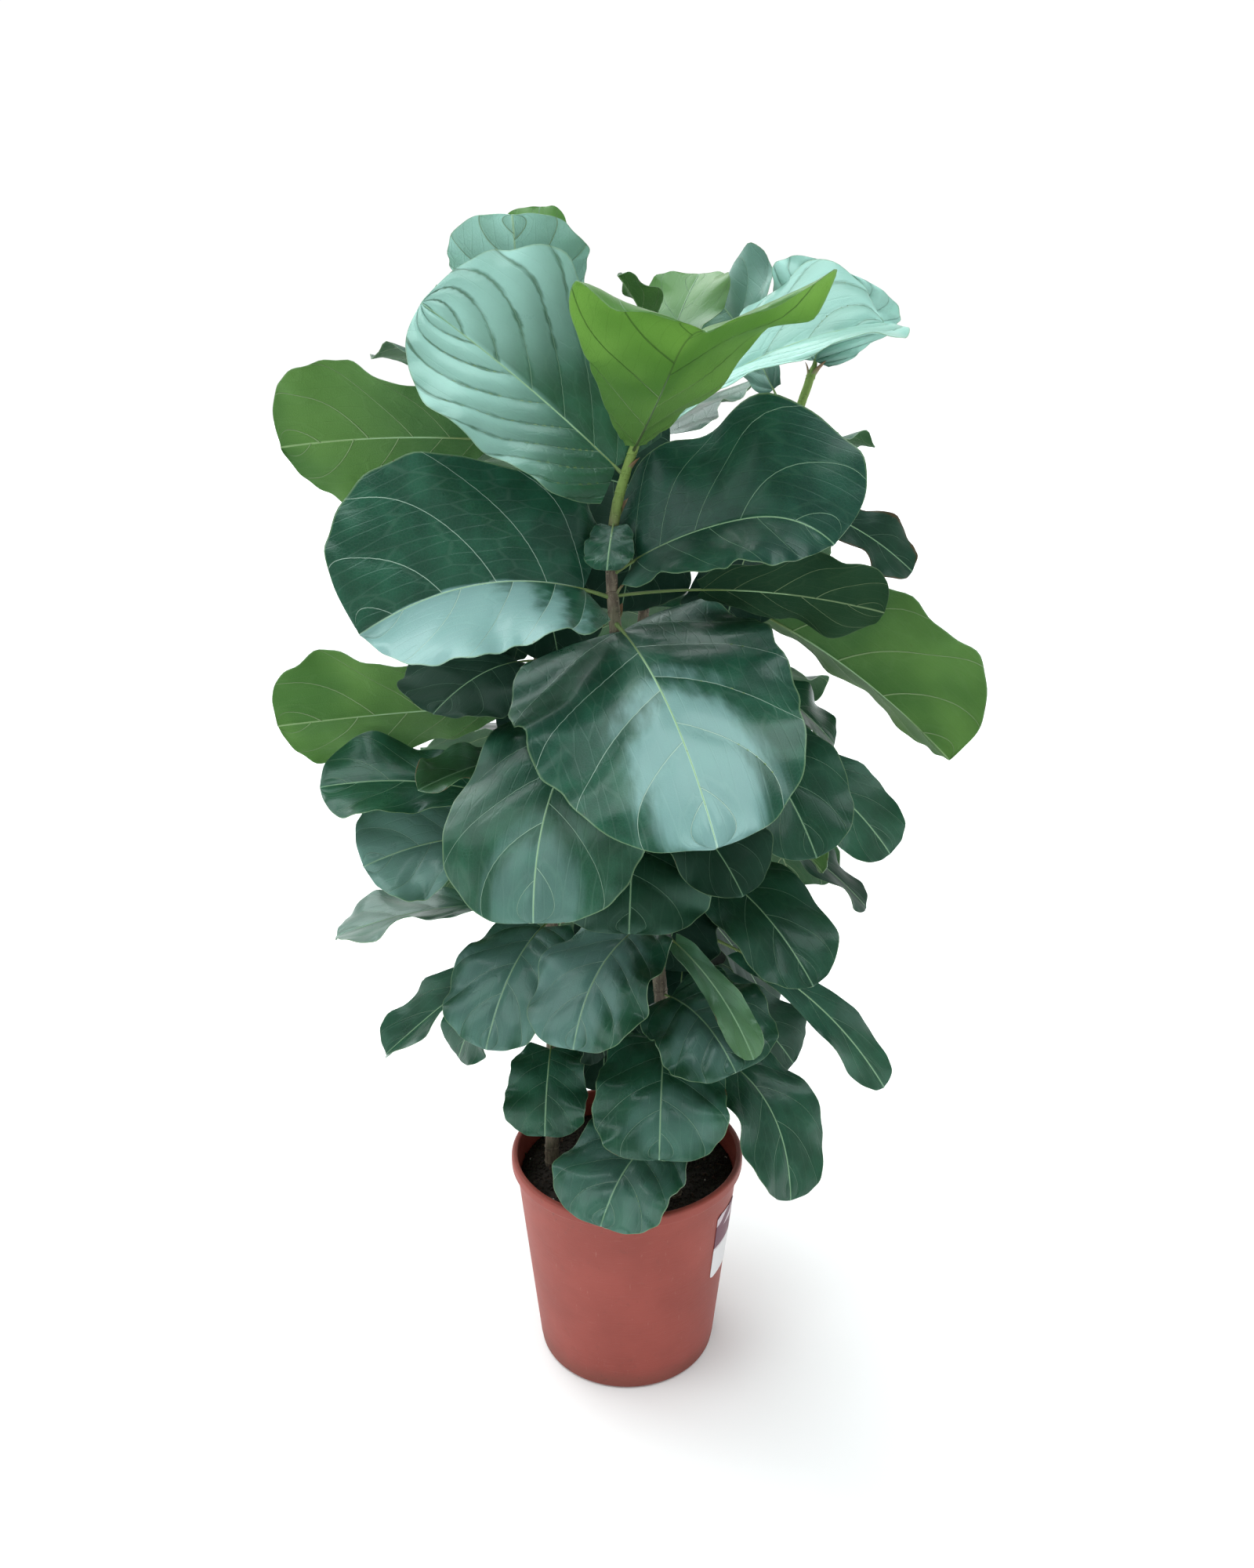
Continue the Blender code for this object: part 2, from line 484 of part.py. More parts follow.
def build_leafy_stem(name):
    line = stem_line(name)
    tip_way = unit(line[-1] - line[-6])
    places = np.linspace(0, len(line) - 1, STEM_RINGS).astype(int)
    centres = [line[p] for p in places]
    centres += [line[-1] + tip_way * BUD_LONG * 0.5, line[-1] + tip_way * BUD_LONG]
    radii = [ROOT_R + (APEX_R - ROOT_R) * k / (STEM_RINGS - 1) for k in range(STEM_RINGS)]
    radii += [APEX_R * 0.9, APEX_R * 0.15]
    points, faces = tube(centres, radii, STEM_SIDES)
    stem = add_object("leafy_stem_" + name, points, faces)
    parts = []
    for index, spec in enumerate(LEAVES):
        if spec["stem"] != name:
            continue
        small = spec["width"] < 0.095
        large = spec["width"] > 0.18
        behind = 45 < spec["heading"] < 140
        rows = 7 if small or behind else 9 if large else 8
        grid = blade_grid(spec, index, rows, 1 if small else 3 if large and not behind else 2)
        parts.append(add_object("blade", *blade_solid(grid, BLADE_THICK)))
        run, points, along, across, up = midrib(spec)
        blade = run[-1] - spec["stalk"]
        stops = [0.0, spec["stalk"], spec["stalk"] + 0.08 * blade]
        radii = [STALK_ROOT_R, 0.0020, STALK_TIP_R]
        centres = read_at(run, points, np.array(stops))
        parts.append(add_object("stalk", *tube(centres, radii, STALK_SIDES, turn=0.3)))
    combine(stem, parts, "UNION")
    paint(stem, (0.05, 0.16, 0.07), 0.4)


build_pot()
build_soil()
build_label()
for stem_name in STEMS:
    build_leafy_stem(stem_name)
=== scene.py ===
"""Potted fiddle leaf fig: finished leaves, stems, soil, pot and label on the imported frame."""
import json
from math import cos, pi, radians, sin, sqrt
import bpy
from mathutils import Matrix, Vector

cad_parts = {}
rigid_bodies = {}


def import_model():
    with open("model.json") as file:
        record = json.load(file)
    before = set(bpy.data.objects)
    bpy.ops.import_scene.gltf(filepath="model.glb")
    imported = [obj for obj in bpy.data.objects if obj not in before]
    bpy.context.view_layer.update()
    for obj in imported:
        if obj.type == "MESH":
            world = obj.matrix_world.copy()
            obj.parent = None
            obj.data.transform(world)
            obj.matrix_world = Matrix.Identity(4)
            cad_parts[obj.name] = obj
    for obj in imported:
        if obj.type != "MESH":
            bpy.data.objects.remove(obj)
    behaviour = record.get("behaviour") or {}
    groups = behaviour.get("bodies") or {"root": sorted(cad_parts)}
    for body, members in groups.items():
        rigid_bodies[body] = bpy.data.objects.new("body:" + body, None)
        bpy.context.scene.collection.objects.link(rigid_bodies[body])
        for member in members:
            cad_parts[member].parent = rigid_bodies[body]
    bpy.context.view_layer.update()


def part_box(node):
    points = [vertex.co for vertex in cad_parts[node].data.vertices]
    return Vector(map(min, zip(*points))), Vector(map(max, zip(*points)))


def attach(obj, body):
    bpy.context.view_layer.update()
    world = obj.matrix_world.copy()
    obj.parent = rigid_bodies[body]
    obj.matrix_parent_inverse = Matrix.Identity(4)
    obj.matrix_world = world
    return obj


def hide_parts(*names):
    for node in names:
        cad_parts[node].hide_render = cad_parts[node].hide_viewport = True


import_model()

from types import SimpleNamespace

import bpy
import numpy as np
from mathutils import Matrix, Vector

pot_low, pot_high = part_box("pot")
soil_low, soil_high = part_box("soil")
label_low, label_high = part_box("pot_label")

# pot, soil and label
POT_H = pot_high.z
POT_RIM_R = pot_high.x
POT_BASE_R = 0.0925
POT_WALL = 0.0028
POT_FLOOR = 0.004
RIM_TALL = 0.012
RIM_PROUD = 0.0035
DRAIN_RING_R = 0.058
DRAIN_R = 0.006
DRAIN_COUNT = 6
SOIL_TOP = soil_high.z
LABEL_TURN = -25.0
LABEL_HALF_TURN = 11.0
LABEL_SPLIT_Z = 0.146
LABEL_CORNER = 0.004
LABEL_THICK = 0.0004
LABEL_GRID = (40, 28)
GAP = 0.0003
POT_SIDES = 128
SOIL_SIDES = 96
DRAIN_SIDES = 24
WALL_SOFT = 40.0
# stems and leaves
ROOT_R = 0.0075
APEX_R = 0.004
BUD_LONG = 0.022
SCAR_EVERY = 0.017
STIPULE_WIDE = 0.0085
STIPULE_THICK = 0.0004
STIPULE_GRID = (9, 5)
STIPULE_AT_BUD = 0.026
STIPULE_AT_LEAF = 0.02
YOUNG_FROM_TIP = 0.16
BLADE_THICK = 0.0006
BLADE_SOFT = 60.0
STALK_R = 0.0024
RIB_POINTS = 34
CURVE_POINTS = 121
BLADE_GRID = (56, 15)
BACK_GRID = (44, 11)
# camera, floor and light
LENS = 28.4
EYE = (0.0, -1.12, 0.97)
LOOK_DOWN = 17.3
FLOOR_HALF = 60.0
FLOOR_DROP = 0.0005
DAYLIGHT = (0.96, 1.0, 1.0)

# centre lines of the stems in millimetres, from their holes in the soil to the tip
STEMS = {
    "front": ((50, -50, 170), (30, -45, 450), (-8, -25, 750), (-12, -8, 860), (8, 0, 935)),
    "left": ((-80, 5, 170), (-75, 15, 450), (-85, 50, 750), (-98, 100, 1040)),
    "right": ((50, 40, 170), (60, 40, 450), (95, 65, 750), (172, 110, 985)),
    "back": ((-20, 70, 170), (-12, 85, 500), (20, 120, 800), (30, 150, 1000)),
}

# places along the midrib, in hundredths of the blade
EARLY = (0, 8, 19, 32, 46, 61, 76, 90, 100)
LATE = (0, 8, 19, 32, 46, 61, 77, 91, 100)
# blade outlines: places on the midrib, how far along their edge lies, and half widths
OUTLINES = {
    "fiddle": (EARLY, (-5, 9, 25, 42, 59, 75, 89, 97, 100), (40, 64, 66, 76, 93, 100, 84, 48, 0)),
    "broad": (EARLY, (-6, 9, 25, 42, 59, 75, 89, 97, 100), (48, 78, 86, 94, 100, 95, 72, 40, 0)),
    "wedge": (LATE, (-1, 6, 20, 38, 56, 75, 93, 103, 100), (10, 20, 38, 56, 76, 95, 100, 55, 0)),
    "pear": (EARLY, (-3, 7, 23, 42, 60, 76, 90, 98, 100), (22, 44, 60, 78, 96, 100, 82, 46, 0)),
    "paddle": (LATE, (-1, 9, 25, 42, 57, 73, 89, 100, 100), (14, 26, 32, 44, 70, 97, 100, 55, 0)),
    "heart": (EARLY, (-14, 2, 18, 35, 52, 69, 85, 96, 100), (70, 95, 100, 100, 95, 85, 67, 38, 0)),
    "round": (EARLY, (-7, 8, 24, 41, 58, 75, 90, 99, 100), (50, 80, 88, 95, 100, 98, 80, 46, 0)),
}

# What a leaf has unless its row says otherwise: side bends it sideways, roll turns the blade, fold
# lifts both halves (left or right lifts one), curl rolls the margin, more widens one half, hook bends
# the tip down, fresh is the paler green of young tissue brightened by painted backlight, quilt
# the relief between the veins, worn the brown of the margin, bloom a pale painted reflection of
# the sky, which starts at green_base on each half, ribbed raised ribs with painted shade
# in the grooves, deep the painted dark of shade, veins the side veins of a half, sweep their
# slant, gloss a painted glossy highlight, spot its middle and size.
PLAIN = dict(
    side=0.0, roll=0.0, fold=8.0, curl=0.0, more=0.0, hook=0.0, wave=0.008, fresh=0.05, quilt=1.8,
    worn=0.12, bloom=0.0, green_base=(0.1, 0.2), ribbed=0.0, deep=0.1, veins=5, sweep=0.19,
    gloss=0.0, spot=(0.0, 0.5, 1.0, 1.0))
PAINTED = ("fresh", "worn", "bloom", "deep", "ribbed", "gloss", "spot")
LEAVES = []


def leaf(height, heading, reach, rise, width, stalk, arch, shape="fiddle", **rest):
    """One leaf: where it leaves its stem, where its tip goes (millimetres and degrees), and its form."""
    sizes = dict(height=height, reach=reach, rise=rise, width=width, stalk=stalk)
    spec = {key: value / 1000 for key, value in sizes.items()}
    spec.update(heading=heading, shape=shape, arch=arch, **{**PLAIN, **rest})
    return {"left": spec["fold"], "right": spec["fold"], **spec}


def inner(*sizes, deep=1):
    """One of the leaves that hang close to the stems, darkened with painted shade."""
    return leaf(*sizes, "broad", fold=4, deep=deep)


def grow(stem, *leaves):
    """Gives a stem its leaves, mostly from the top down."""
    LEAVES.extend(SimpleNamespace(stem=stem, **spec) for spec in leaves)


grow(
    "front",
    leaf(905, 180, 172, 142, 184, 12, 0.04, "broad", roll=-62, fold=6, curl=10, more=-0.14, fresh=0.16,
         quilt=3.4, bloom=0.88, ribbed=0.8, veins=6.6, sweep=0.38, green_base=(0.5, 0.72)),
    leaf(925, -70, 145, 118, 210, 10, -0.05, "wedge", fold=17, more=0.1, hook=55, wave=0.014, fresh=0.95,
         quilt=1.6),
    leaf(930, 19, 240, 105, 155, 20, 0.16, "paddle", roll=26, fold=20, fresh=0.3, quilt=3.4, bloom=1.1,
         ribbed=0.4, veins=7, sweep=0.3),
    leaf(868, -100, 36, -40, 44, 10, 0.12, "round", fold=4, wave=0.004, quilt=0.6),
    leaf(820, -24, 205, 60, 175, 30, 0.17, "broad", roll=45, fold=20, more=0.14, hook=40, fresh=0,
         quilt=1.3, worn=0.05, deep=0.35),
    leaf(800, -159, 225, -18, 238, 30, 0.25, "broad", roll=-50, left=34, right=18, fresh=0.03, quilt=1.6,
         worn=0.2, gloss=0.6, spot=(0.6, 0.66, 0.95, 0.56)),
    leaf(802, -4, 240, -12, 92, 80, 0.1, "pear", roll=-55, fold=10, fresh=0.1, deep=0.85),
    leaf(779, -70, 232, -134, 234, 22, 0.18, "heart", roll=10, more=-0.03, left=0, right=-16, fresh=0.03,
         quilt=2.2, gloss=0.54, spot=(0.02, 0.72, 0.46, 0.4)),
    leaf(710, -113, 185, -145, 178, 30, 0.3, "round", side=-0.1, fold=-2, fresh=0.06, quilt=2, gloss=0.19,
         spot=(0, 0.9, 0.5, 0.28)),
    leaf(620, -50, 140, -55, 100, 20, 0.3, "broad", roll=10, deep=0.8),
    leaf(610, -95, 95, -85, 140, 20, 0.3, "round", fold=0, quilt=2.4, deep=0.5),
    leaf(500, -124, 128, -78, 118, 20, 0.3, "round", side=-0.08, fold=0, quilt=3.2, gloss=0.26,
         spot=(-0.3, 0.55, 0.9, 0.6)),
    leaf(495, -40, 118, -100, 36, 30, 0.2, roll=40, fold=20, fresh=0.52, bloom=0.1, worn=0.3),
    leaf(425, -50, 103, -40, 120, 15, 0.3, "round", roll=15, quilt=3.4, deep=0.2, gloss=0.14,
         spot=(-0.1, 0.6, 0.7, 0.4)),
    leaf(380, -94, 95, -75, 125, 10, 0.3, "round", quilt=3.4, worn=0.25, gloss=0.12,
         spot=(0.2, 0.7, 0.7, 0.3)),
    leaf(272, -125, 118, -36, 128, 20, 0.35, "round", side=-0.05, quilt=4.2, worn=0.1, gloss=0.09),
)
grow(
    "left",
    leaf(1030, 79, 75, 115, 65, 10, -0.05, "pear", fold=10, fresh=0.95, quilt=0.8),
    leaf(1020, -93, 40, 105, 130, 10, -0.1, "broad", fold=14, hook=25, fresh=0.16, quilt=1.6, bloom=0.92,
         ribbed=0.2),
    leaf(980, 146, 98, 90, 70, 20, -0.1, fold=20, fresh=0.5),
    leaf(960, 120, 250, 40, 160, 40, 0.15, fold=10),
    leaf(930, 171, 245, -5, 150, 50, 0.06, "pear", roll=62, fold=10, fresh=0.42, quilt=1.4),
    leaf(905, -12, 120, -20, 185, 15, 0.1, "broad", roll=55, deep=0.9),
    leaf(850, 133, 250, -30, 170, 40, 0.2),
    inner(820, -60, 48, -84, 98, 10, 0.1),
    leaf(780, 125, 280, -80, 160, 40, 0.25, fold=5),
    leaf(770, 168, 120, -50, 110, 20, 0.1, "broad", roll=60, fold=6, deep=1),
    leaf(730, -128, 140, -25, 125, 30, 0.2, roll=-10, fold=5, deep=0.9),
    inner(705, -95, 35, -45, 80, 10, 0.1),
    leaf(690, -179, 255, -22, 152, 50, 0.02, "pear", roll=60, fold=10, more=-0.06, fresh=0.5),
    leaf(650, 111, 250, -110, 160, 40, 0.3, fold=5),
    leaf(640, -132, 155, 0, 50, 30, 0.1, roll=-30, fold=30, fresh=0.2, worn=0.5),
    leaf(580, -172, 215, 38, 105, 50, 0.17, roll=-30, fold=10),
    leaf(550, -161, 180, 0, 120, 40, 0.2, roll=-40, fold=10, quilt=2.2, bloom=0.18, gloss=0.15),
    leaf(540, 120, 200, -130, 130, 30, 0.35, fold=5),
    leaf(485, -169, 210, -12, 120, 50, 0.15, roll=6, bloom=0.15),
    leaf(475, -115, 130, -80, 115, 20, 0.3, "broad", fold=5, quilt=3.4, gloss=0.2, spot=(0, 0.5, 1, 0.6)),
    leaf(465, 178, 175, -145, 65, 30, 0.05, roll=-30, fold=30),
    leaf(440, 161, 110, -140, 70, 30, 0.2, roll=-60),
    leaf(410, -30, 60, -70, 95, 20, 0.3, "broad", deep=0.9),
    leaf(360, 110, 160, -70, 100, 30, 0.4, fold=5),
    leaf(350, -94, 72, -72, 82, 20, 0.3, "round"),
)
grow(
    "right",
    leaf(985, 17, 33, 98, 130, 20, 0.05, "pear", roll=75, fold=6, fresh=0.1, quilt=4, bloom=1.25,
         ribbed=0.5, veins=7, sweep=0.3),
    leaf(940, 118, 140, 128, 130, 50, 0.1, "paddle", roll=-66, fresh=0.06, quilt=3, bloom=0.45),
    leaf(925, 62, 150, -10, 100, 40, 0.12, fold=10),
    leaf(880, 4, 146, -72, 66, 40, 0.15, roll=50, fold=10, worn=1, deep=0.7),
    leaf(840, -112, 80, -70, 95, 20, 0.1, deep=1),
    leaf(785, -14, 212, -146, 202, 25, 0.1, "broad", roll=-68, left=50, right=0, fresh=0.46, quilt=1.6,
         worn=0.2),
    leaf(730, 20, 130, -100, 70, 30, 0.1, roll=40),
    leaf(690, 68, 250, -60, 130, 40, 0.25, fold=5),
    leaf(680, -53, 150, -110, 115, 20, 0.2, "broad", roll=30, deep=0.4),
    leaf(660, -2, 185, -128, 80, 40, 0.2, roll=60),
    leaf(640, 58, 240, -120, 150, 40, 0.3, fold=5),
    leaf(600, -33, 135, -60, 70, 30, 0.2, roll=-50, fresh=0.3, worn=0.4),
    leaf(585, 3, 175, -115, 60, 40, 0.15, roll=20, deep=0.6),
    leaf(560, 55, 215, -130, 140, 30, 0.3, fold=5),
    leaf(530, -50, 165, -80, 105, 10, 0.2, "broad", roll=15, quilt=2.4, deep=0.4),
    inner(515, -120, 55, -85, 105, 12, 0.12),
    leaf(485, 45, 150, -200, 90, 30, 0.1, roll=60, deep=0.8),
    leaf(455, -9, 208, -165, 50, 60, 0.19, roll=50),
    inner(425, -100, 50, -85, 85, 12, 0.12),
    leaf(400, 75, 190, -110, 110, 30, 0.35, fold=5, deep=1),
    leaf(405, 12, 125, -120, 80, 30, 0.14, roll=60, deep=0.6),
    leaf(330, -46, 155, -118, 98, 45, 0.4, "broad", side=0.15, roll=10, quilt=2.6, deep=0.2),
)
grow(
    "back",
    leaf(1000, -150, 45, 80, 50, 5, 0.15, fold=30, fresh=0.3),
    leaf(960, 60, 90, 130, 100, 20, 0.15, fold=10, fresh=0.8, quilt=1),
    leaf(920, 80, 215, 45, 170, 40, 0.12, fold=12),
    leaf(880, 122, 270, 10, 190, 40, 0.15, fold=10),
    leaf(820, 58, 280, -40, 200, 40, 0.2),
    leaf(760, 98, 275, -80, 200, 40, 0.25, fold=5),
    leaf(690, 86, 260, -120, 190, 40, 0.3, fold=5),
    leaf(600, 109, 245, -140, 170, 30, 0.3, fold=5),
    leaf(520, 80, 230, -140, 160, 30, 0.35, fold=5),
    leaf(450, 113, 195, -130, 130, 30, 0.35, fold=5),
    leaf(380, 77, 155, -110, 120, 30, 0.4, fold=5),
    inner(870, -112, 80, -94, 132, 15, 0.15),
    inner(695, -105, 75, -85, 115, 15, 0.2, deep=0.8),
    inner(580, -88, 58, -80, 115, 15, 0.2),
    leaf(485, -96, 58, -60, 75, 15, 0.2, "round", fold=4, deep=1),
    inner(375, -98, 60, -96, 84, 12, 0.2),
)


def unit(v):
    return v / max(float(np.linalg.norm(v)), 1e-9)


def smooth_through(points, places):
    """Catmull-Rom curve through the rows of points, read at the given places (row numbers)."""
    points = np.asarray(points, float)
    last = len(points) - 1
    i = np.clip(np.asarray(places, float).astype(int), 0, last - 1)
    f = (np.asarray(places, float) - i)[:, None]
    p0, p1 = points[np.maximum(i - 1, 0)], points[i]
    p2, p3 = points[i + 1], points[np.minimum(i + 2, last)]
    return 0.5 * (2 * p1 + (p2 - p0) * f + (2 * p0 - 5 * p1 + 4 * p2 - p3) * f ** 2
                  + (3 * p1 - p0 - 3 * p2 + p3) * f ** 3)


def stem_line(name):
    """The stem's centre line as many close points."""
    points = np.array(STEMS[name]) / 1000
    return smooth_through(points, np.linspace(0, len(points) - 1, CURVE_POINTS))


def stem_at(name, height):
    line = stem_line(name)
    return np.array([np.interp(height, line[:, 2], line[:, axis]) for axis in range(3)])


def midrib(spec):
    """The leaf's centre line from the stem to the tip: length run, points, across, up."""
    start = stem_at(spec.stem, spec.height)
    ahead = np.array(around(1.0, radians(spec.heading)))
    end = start + spec.reach * ahead + np.array([0.0, 0.0, spec.rise])
    long = float(np.linalg.norm(end - start))
    chord = (end - start) / long
    across = unit(np.cross([0.0, 0.0, 1.0], ahead))
    up = np.cross(chord, across)
    bend = (start + end) / 2 + spec.arch * long * up + spec.side * long * across
    u = np.linspace(0, 1, CURVE_POINTS)[:, None]
    points = (1 - u) ** 2 * start + 2 * u * (1 - u) * bend + u ** 2 * end
    along = 2 * (1 - u) * (bend - start) + 2 * u * (end - bend)
    along /= np.linalg.norm(along, axis=1)[:, None]
    across = across - (along @ across)[:, None] * along
    across /= np.linalg.norm(across, axis=1)[:, None]
    up = np.cross(along, across)
    steps = np.linalg.norm(np.diff(points, axis=0), axis=1)
    run = np.concatenate([[0.0], np.cumsum(steps)])
    if spec.hook:
        droop = np.radians(spec.hook) * np.clip((run / run[-1] - 0.62) / 0.38, 0, 1) ** 1.3
        c, s = np.cos(droop)[:, None], np.sin(droop)[:, None]
        along, up = along * c - up * s, up * c + along * s
        middle = (along[1:] + along[:-1]) / 2
        points = np.vstack([points[:1], points[0] + np.cumsum(middle * steps[:, None], axis=0)])
    c, s = cos(radians(spec.roll)), sin(radians(spec.roll))
    across, up = across * c + up * s, up * c - across * s
    return run, points, across, up


def read_at(run, rows, where):
    where = np.clip(where, run[0], run[-1])
    return np.stack([np.interp(where, run, rows[:, axis]) for axis in range(3)], -1)


def socket_named(sockets, name):
    return [s for s in sockets if s.name == name and s.enabled][0]


class Wire:
    """A node's output that Python arithmetic can be written on; each step adds its Math node."""

    def __init__(self, graph, out):
        self.graph = graph
        self.out = out

    def pick(self, name):
        """Another output of the same node."""
        return Wire(self.graph, socket_named(self.out.node.outputs, name))

    def math(self, operation, *others):
        return self.graph.math(operation, self, *others)


def arithmetic(operation, swapped):
    """A method that adds one Math node; swapped, the wire is its second value."""
    def method(wire, other):
        return wire.graph.math(operation, *((other, wire) if swapped else (wire, other)))
    return method


for word, operation in (("add", "ADD"), ("sub", "SUBTRACT"), ("mul", "MULTIPLY"), ("truediv", "DIVIDE")):
    setattr(Wire, f"__{word}__", arithmetic(operation, False))
    setattr(Wire, f"__r{word}__", arithmetic(operation, True))


class Graph:
    """A node tree, filled by one call for each node."""

    def __init__(self, tree):
        self.tree = tree

    def feed(self, socket, value):
        if isinstance(value, Wire):
            self.tree.links.new(value.out, socket)
        else:
            socket.default_value = (*value, 1.0) if socket.type == "RGBA" else value

    def add(self, kind, *places, **named):
        """A node: small names are its settings, and the rest its sockets, by place or by name."""
        node = self.tree.nodes.new(kind)
        for key, value in named.items():
            if key[0].islower():
                setattr(node, key, value)
        for socket, value in zip(node.inputs, places):
            self.feed(socket, value)
        for key, value in named.items():
            if key[0].isupper():
                self.feed(socket_named(node.inputs, key.replace("_", " ")), value)
        shown = [s for s in node.outputs if s.enabled]
        return Wire(self, shown[0]) if shown else None

    def math(self, operation, *values):
        return self.add("ShaderNodeMath", *values, operation=operation)

    def scaled(self, vector, factors):
        return self.add("ShaderNodeVectorMath", vector, factors, operation="MULTIPLY")

    def apart(self, vector):
        first = self.add("ShaderNodeSeparateXYZ", Vector=vector)
        return first, first.pick("Y"), first.pick("Z")

    def joined(self, x, y, z=0.0):
        return self.add("ShaderNodeCombineXYZ", X=x, Y=y, Z=z)

    def noise(self, vector, scale, detail=3.0, rough=0.55):
        return self.add("ShaderNodeTexNoise", Vector=vector, Scale=scale, Detail=detail, Roughness=rough)

    def fade(self, value, low, high):
        """0 below low, 1 above high, with a soft change between."""
        return self.add("ShaderNodeMapRange", Value=value, From_Min=low, From_Max=high,
                        interpolation_type="SMOOTHSTEP")

    def mix(self, a, b, share):
        """Colour a turning into colour b."""
        return self.add("ShaderNodeMix", Factor=share, A=a, B=b, data_type="RGBA")


class Finish(Graph):
    """A material that is being built up."""

    def __init__(self, name):
        self.material = bpy.data.materials.new(name)
        self.material.use_nodes = True
        super().__init__(self.material.node_tree)
        self.tree.nodes.clear()
        self.at = self.add("ShaderNodeTexCoord").pick("Object")

    def uv(self, name):
        return self.add("ShaderNodeUVMap", uv_map=name)

    def attribute(self, name):
        return self.add("ShaderNodeAttribute", attribute_name=name).pick("Fac")

    def cells(self, vector, feature="DISTANCE_TO_EDGE", scale=1.0, loose=1.0, flat=True):
        shape = "2D" if flat else "3D"
        return self.add("ShaderNodeTexVoronoi", Vector=vector, Scale=scale, Randomness=loose,
                        feature=feature, voronoi_dimensions=shape)

    def bump(self, height, depth):
        return self.add("ShaderNodeBump", Height=height, Distance=depth, Strength=1.0)

    def done(self, shader):
        self.add("ShaderNodeOutputMaterial", Surface=shader)
        return self.material

    def plain(self, skin, rough, height, depth):
        """The finished material, with one shader: its colour, roughness and relief."""
        normal = self.bump(height, depth)
        shader = self.add("ShaderNodeBsdfPrincipled", Base_Color=skin, Roughness=rough, Normal=normal)
        return self.done(shader)


class Shaping(Graph):
    """A Geometry Nodes tree with named inputs, run on an object and turned into a plain mesh."""

    def __init__(self, name, sizes):
        tree = bpy.data.node_groups.new(name, "GeometryNodeTree")
        tree.interface.new_socket("Geometry", in_out="INPUT", socket_type="NodeSocketGeometry")
        for key, value in sizes.items():
            kind = "NodeSocketInt" if isinstance(value, int) else "NodeSocketFloat"
            socket = tree.interface.new_socket(key, in_out="INPUT", socket_type=kind)
            socket.default_value = value
        tree.interface.new_socket("Geometry", in_out="OUTPUT", socket_type="NodeSocketGeometry")
        super().__init__(tree)
        self.given = self.add("NodeGroupInput")

    def geo(self, kind, *places, **named):
        return self.add("GeometryNode" + kind, *places, **named)

    def size(self, name):
        return self.given.pick(name)

    def named(self, name):
        return self.geo("InputNamedAttribute", Name=name)

    def between(self, low, high, seed):
        return self.add("FunctionNodeRandomValue", Min=low, Max=high, Seed=seed)

    def ring(self, points, radius=1.0):
        return self.geo("CurvePrimitiveCircle", Resolution=points, Radius=radius)

    def evenly(self, line, gap):
        """The line with its points set a gap apart."""
        return self.geo("ResampleCurve", Curve=line, Length=gap, mode="LENGTH")

    def tube(self, line, ring):
        """The ring swept along the line, as thick as the path says."""
        thick = self.named("thick")
        return self.geo("CurveToMesh", Curve=line, Profile_Curve=ring, Scale=thick, Fill_Caps=True)

    def joined_up(self, *pieces):
        node = self.geo("JoinGeometry")
        for piece in pieces:
            self.tree.links.new(piece.out, node.out.node.inputs[0])
        return node

    def finish(self, geometry, material):
        whole = self.geo("RealizeInstances", Geometry=geometry)
        smooth = self.geo("SetShadeSmooth", Geometry=whole)
        painted = self.geo("SetMaterial", Geometry=smooth, Material=material)
        self.add("NodeGroupOutput", Geometry=painted)

    def run(self, host, name):
        """The tree's result on the host, as a plain object."""
        host.modifiers.new("shaping", "NODES").node_group = self.tree
        return frozen(host, name)


def around(radius, turn, z=0.0):
    """A point at a distance and a turn from the Z axis."""
    return radius * cos(turn), radius * sin(turn), z


def new_mesh(name, points, faces, edges=()):
    mesh = bpy.data.meshes.new(name)
    mesh.from_pydata(points, edges, faces)
    return mesh


def paint(mesh, key, values):
    """One number for each point, read by its name in the materials and node trees."""
    mesh.attributes.new(key, "FLOAT", "POINT").data.foreach_set("value", values)


def dress(mesh, soft, *materials):
    """The mesh's materials, and smooth shading but for corners of more than soft degrees."""
    mesh.materials.clear()
    for material in materials:
        mesh.materials.append(material)
    mesh.shade_smooth()
    mesh.set_sharp_from_angle(angle=radians(soft))
    mesh.update()


def placed(name, data):
    data.name = name
    obj = bpy.data.objects.new(name, data)
    bpy.context.scene.collection.objects.link(obj)
    return obj


def frozen(host, name):
    """A plain object of what the host's modifiers give; the host is removed."""
    bpy.context.view_layer.update()
    graph = bpy.context.evaluated_depsgraph_get()
    mesh = bpy.data.meshes.new_from_object(host.evaluated_get(graph), depsgraph=graph)
    bpy.data.objects.remove(host, do_unlink=True)
    return placed(name, mesh)


def settle(obj, node):
    """The piece rides on the plant's one body and stands for its solid."""
    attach(obj, "root")
    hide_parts(node)


# finishes

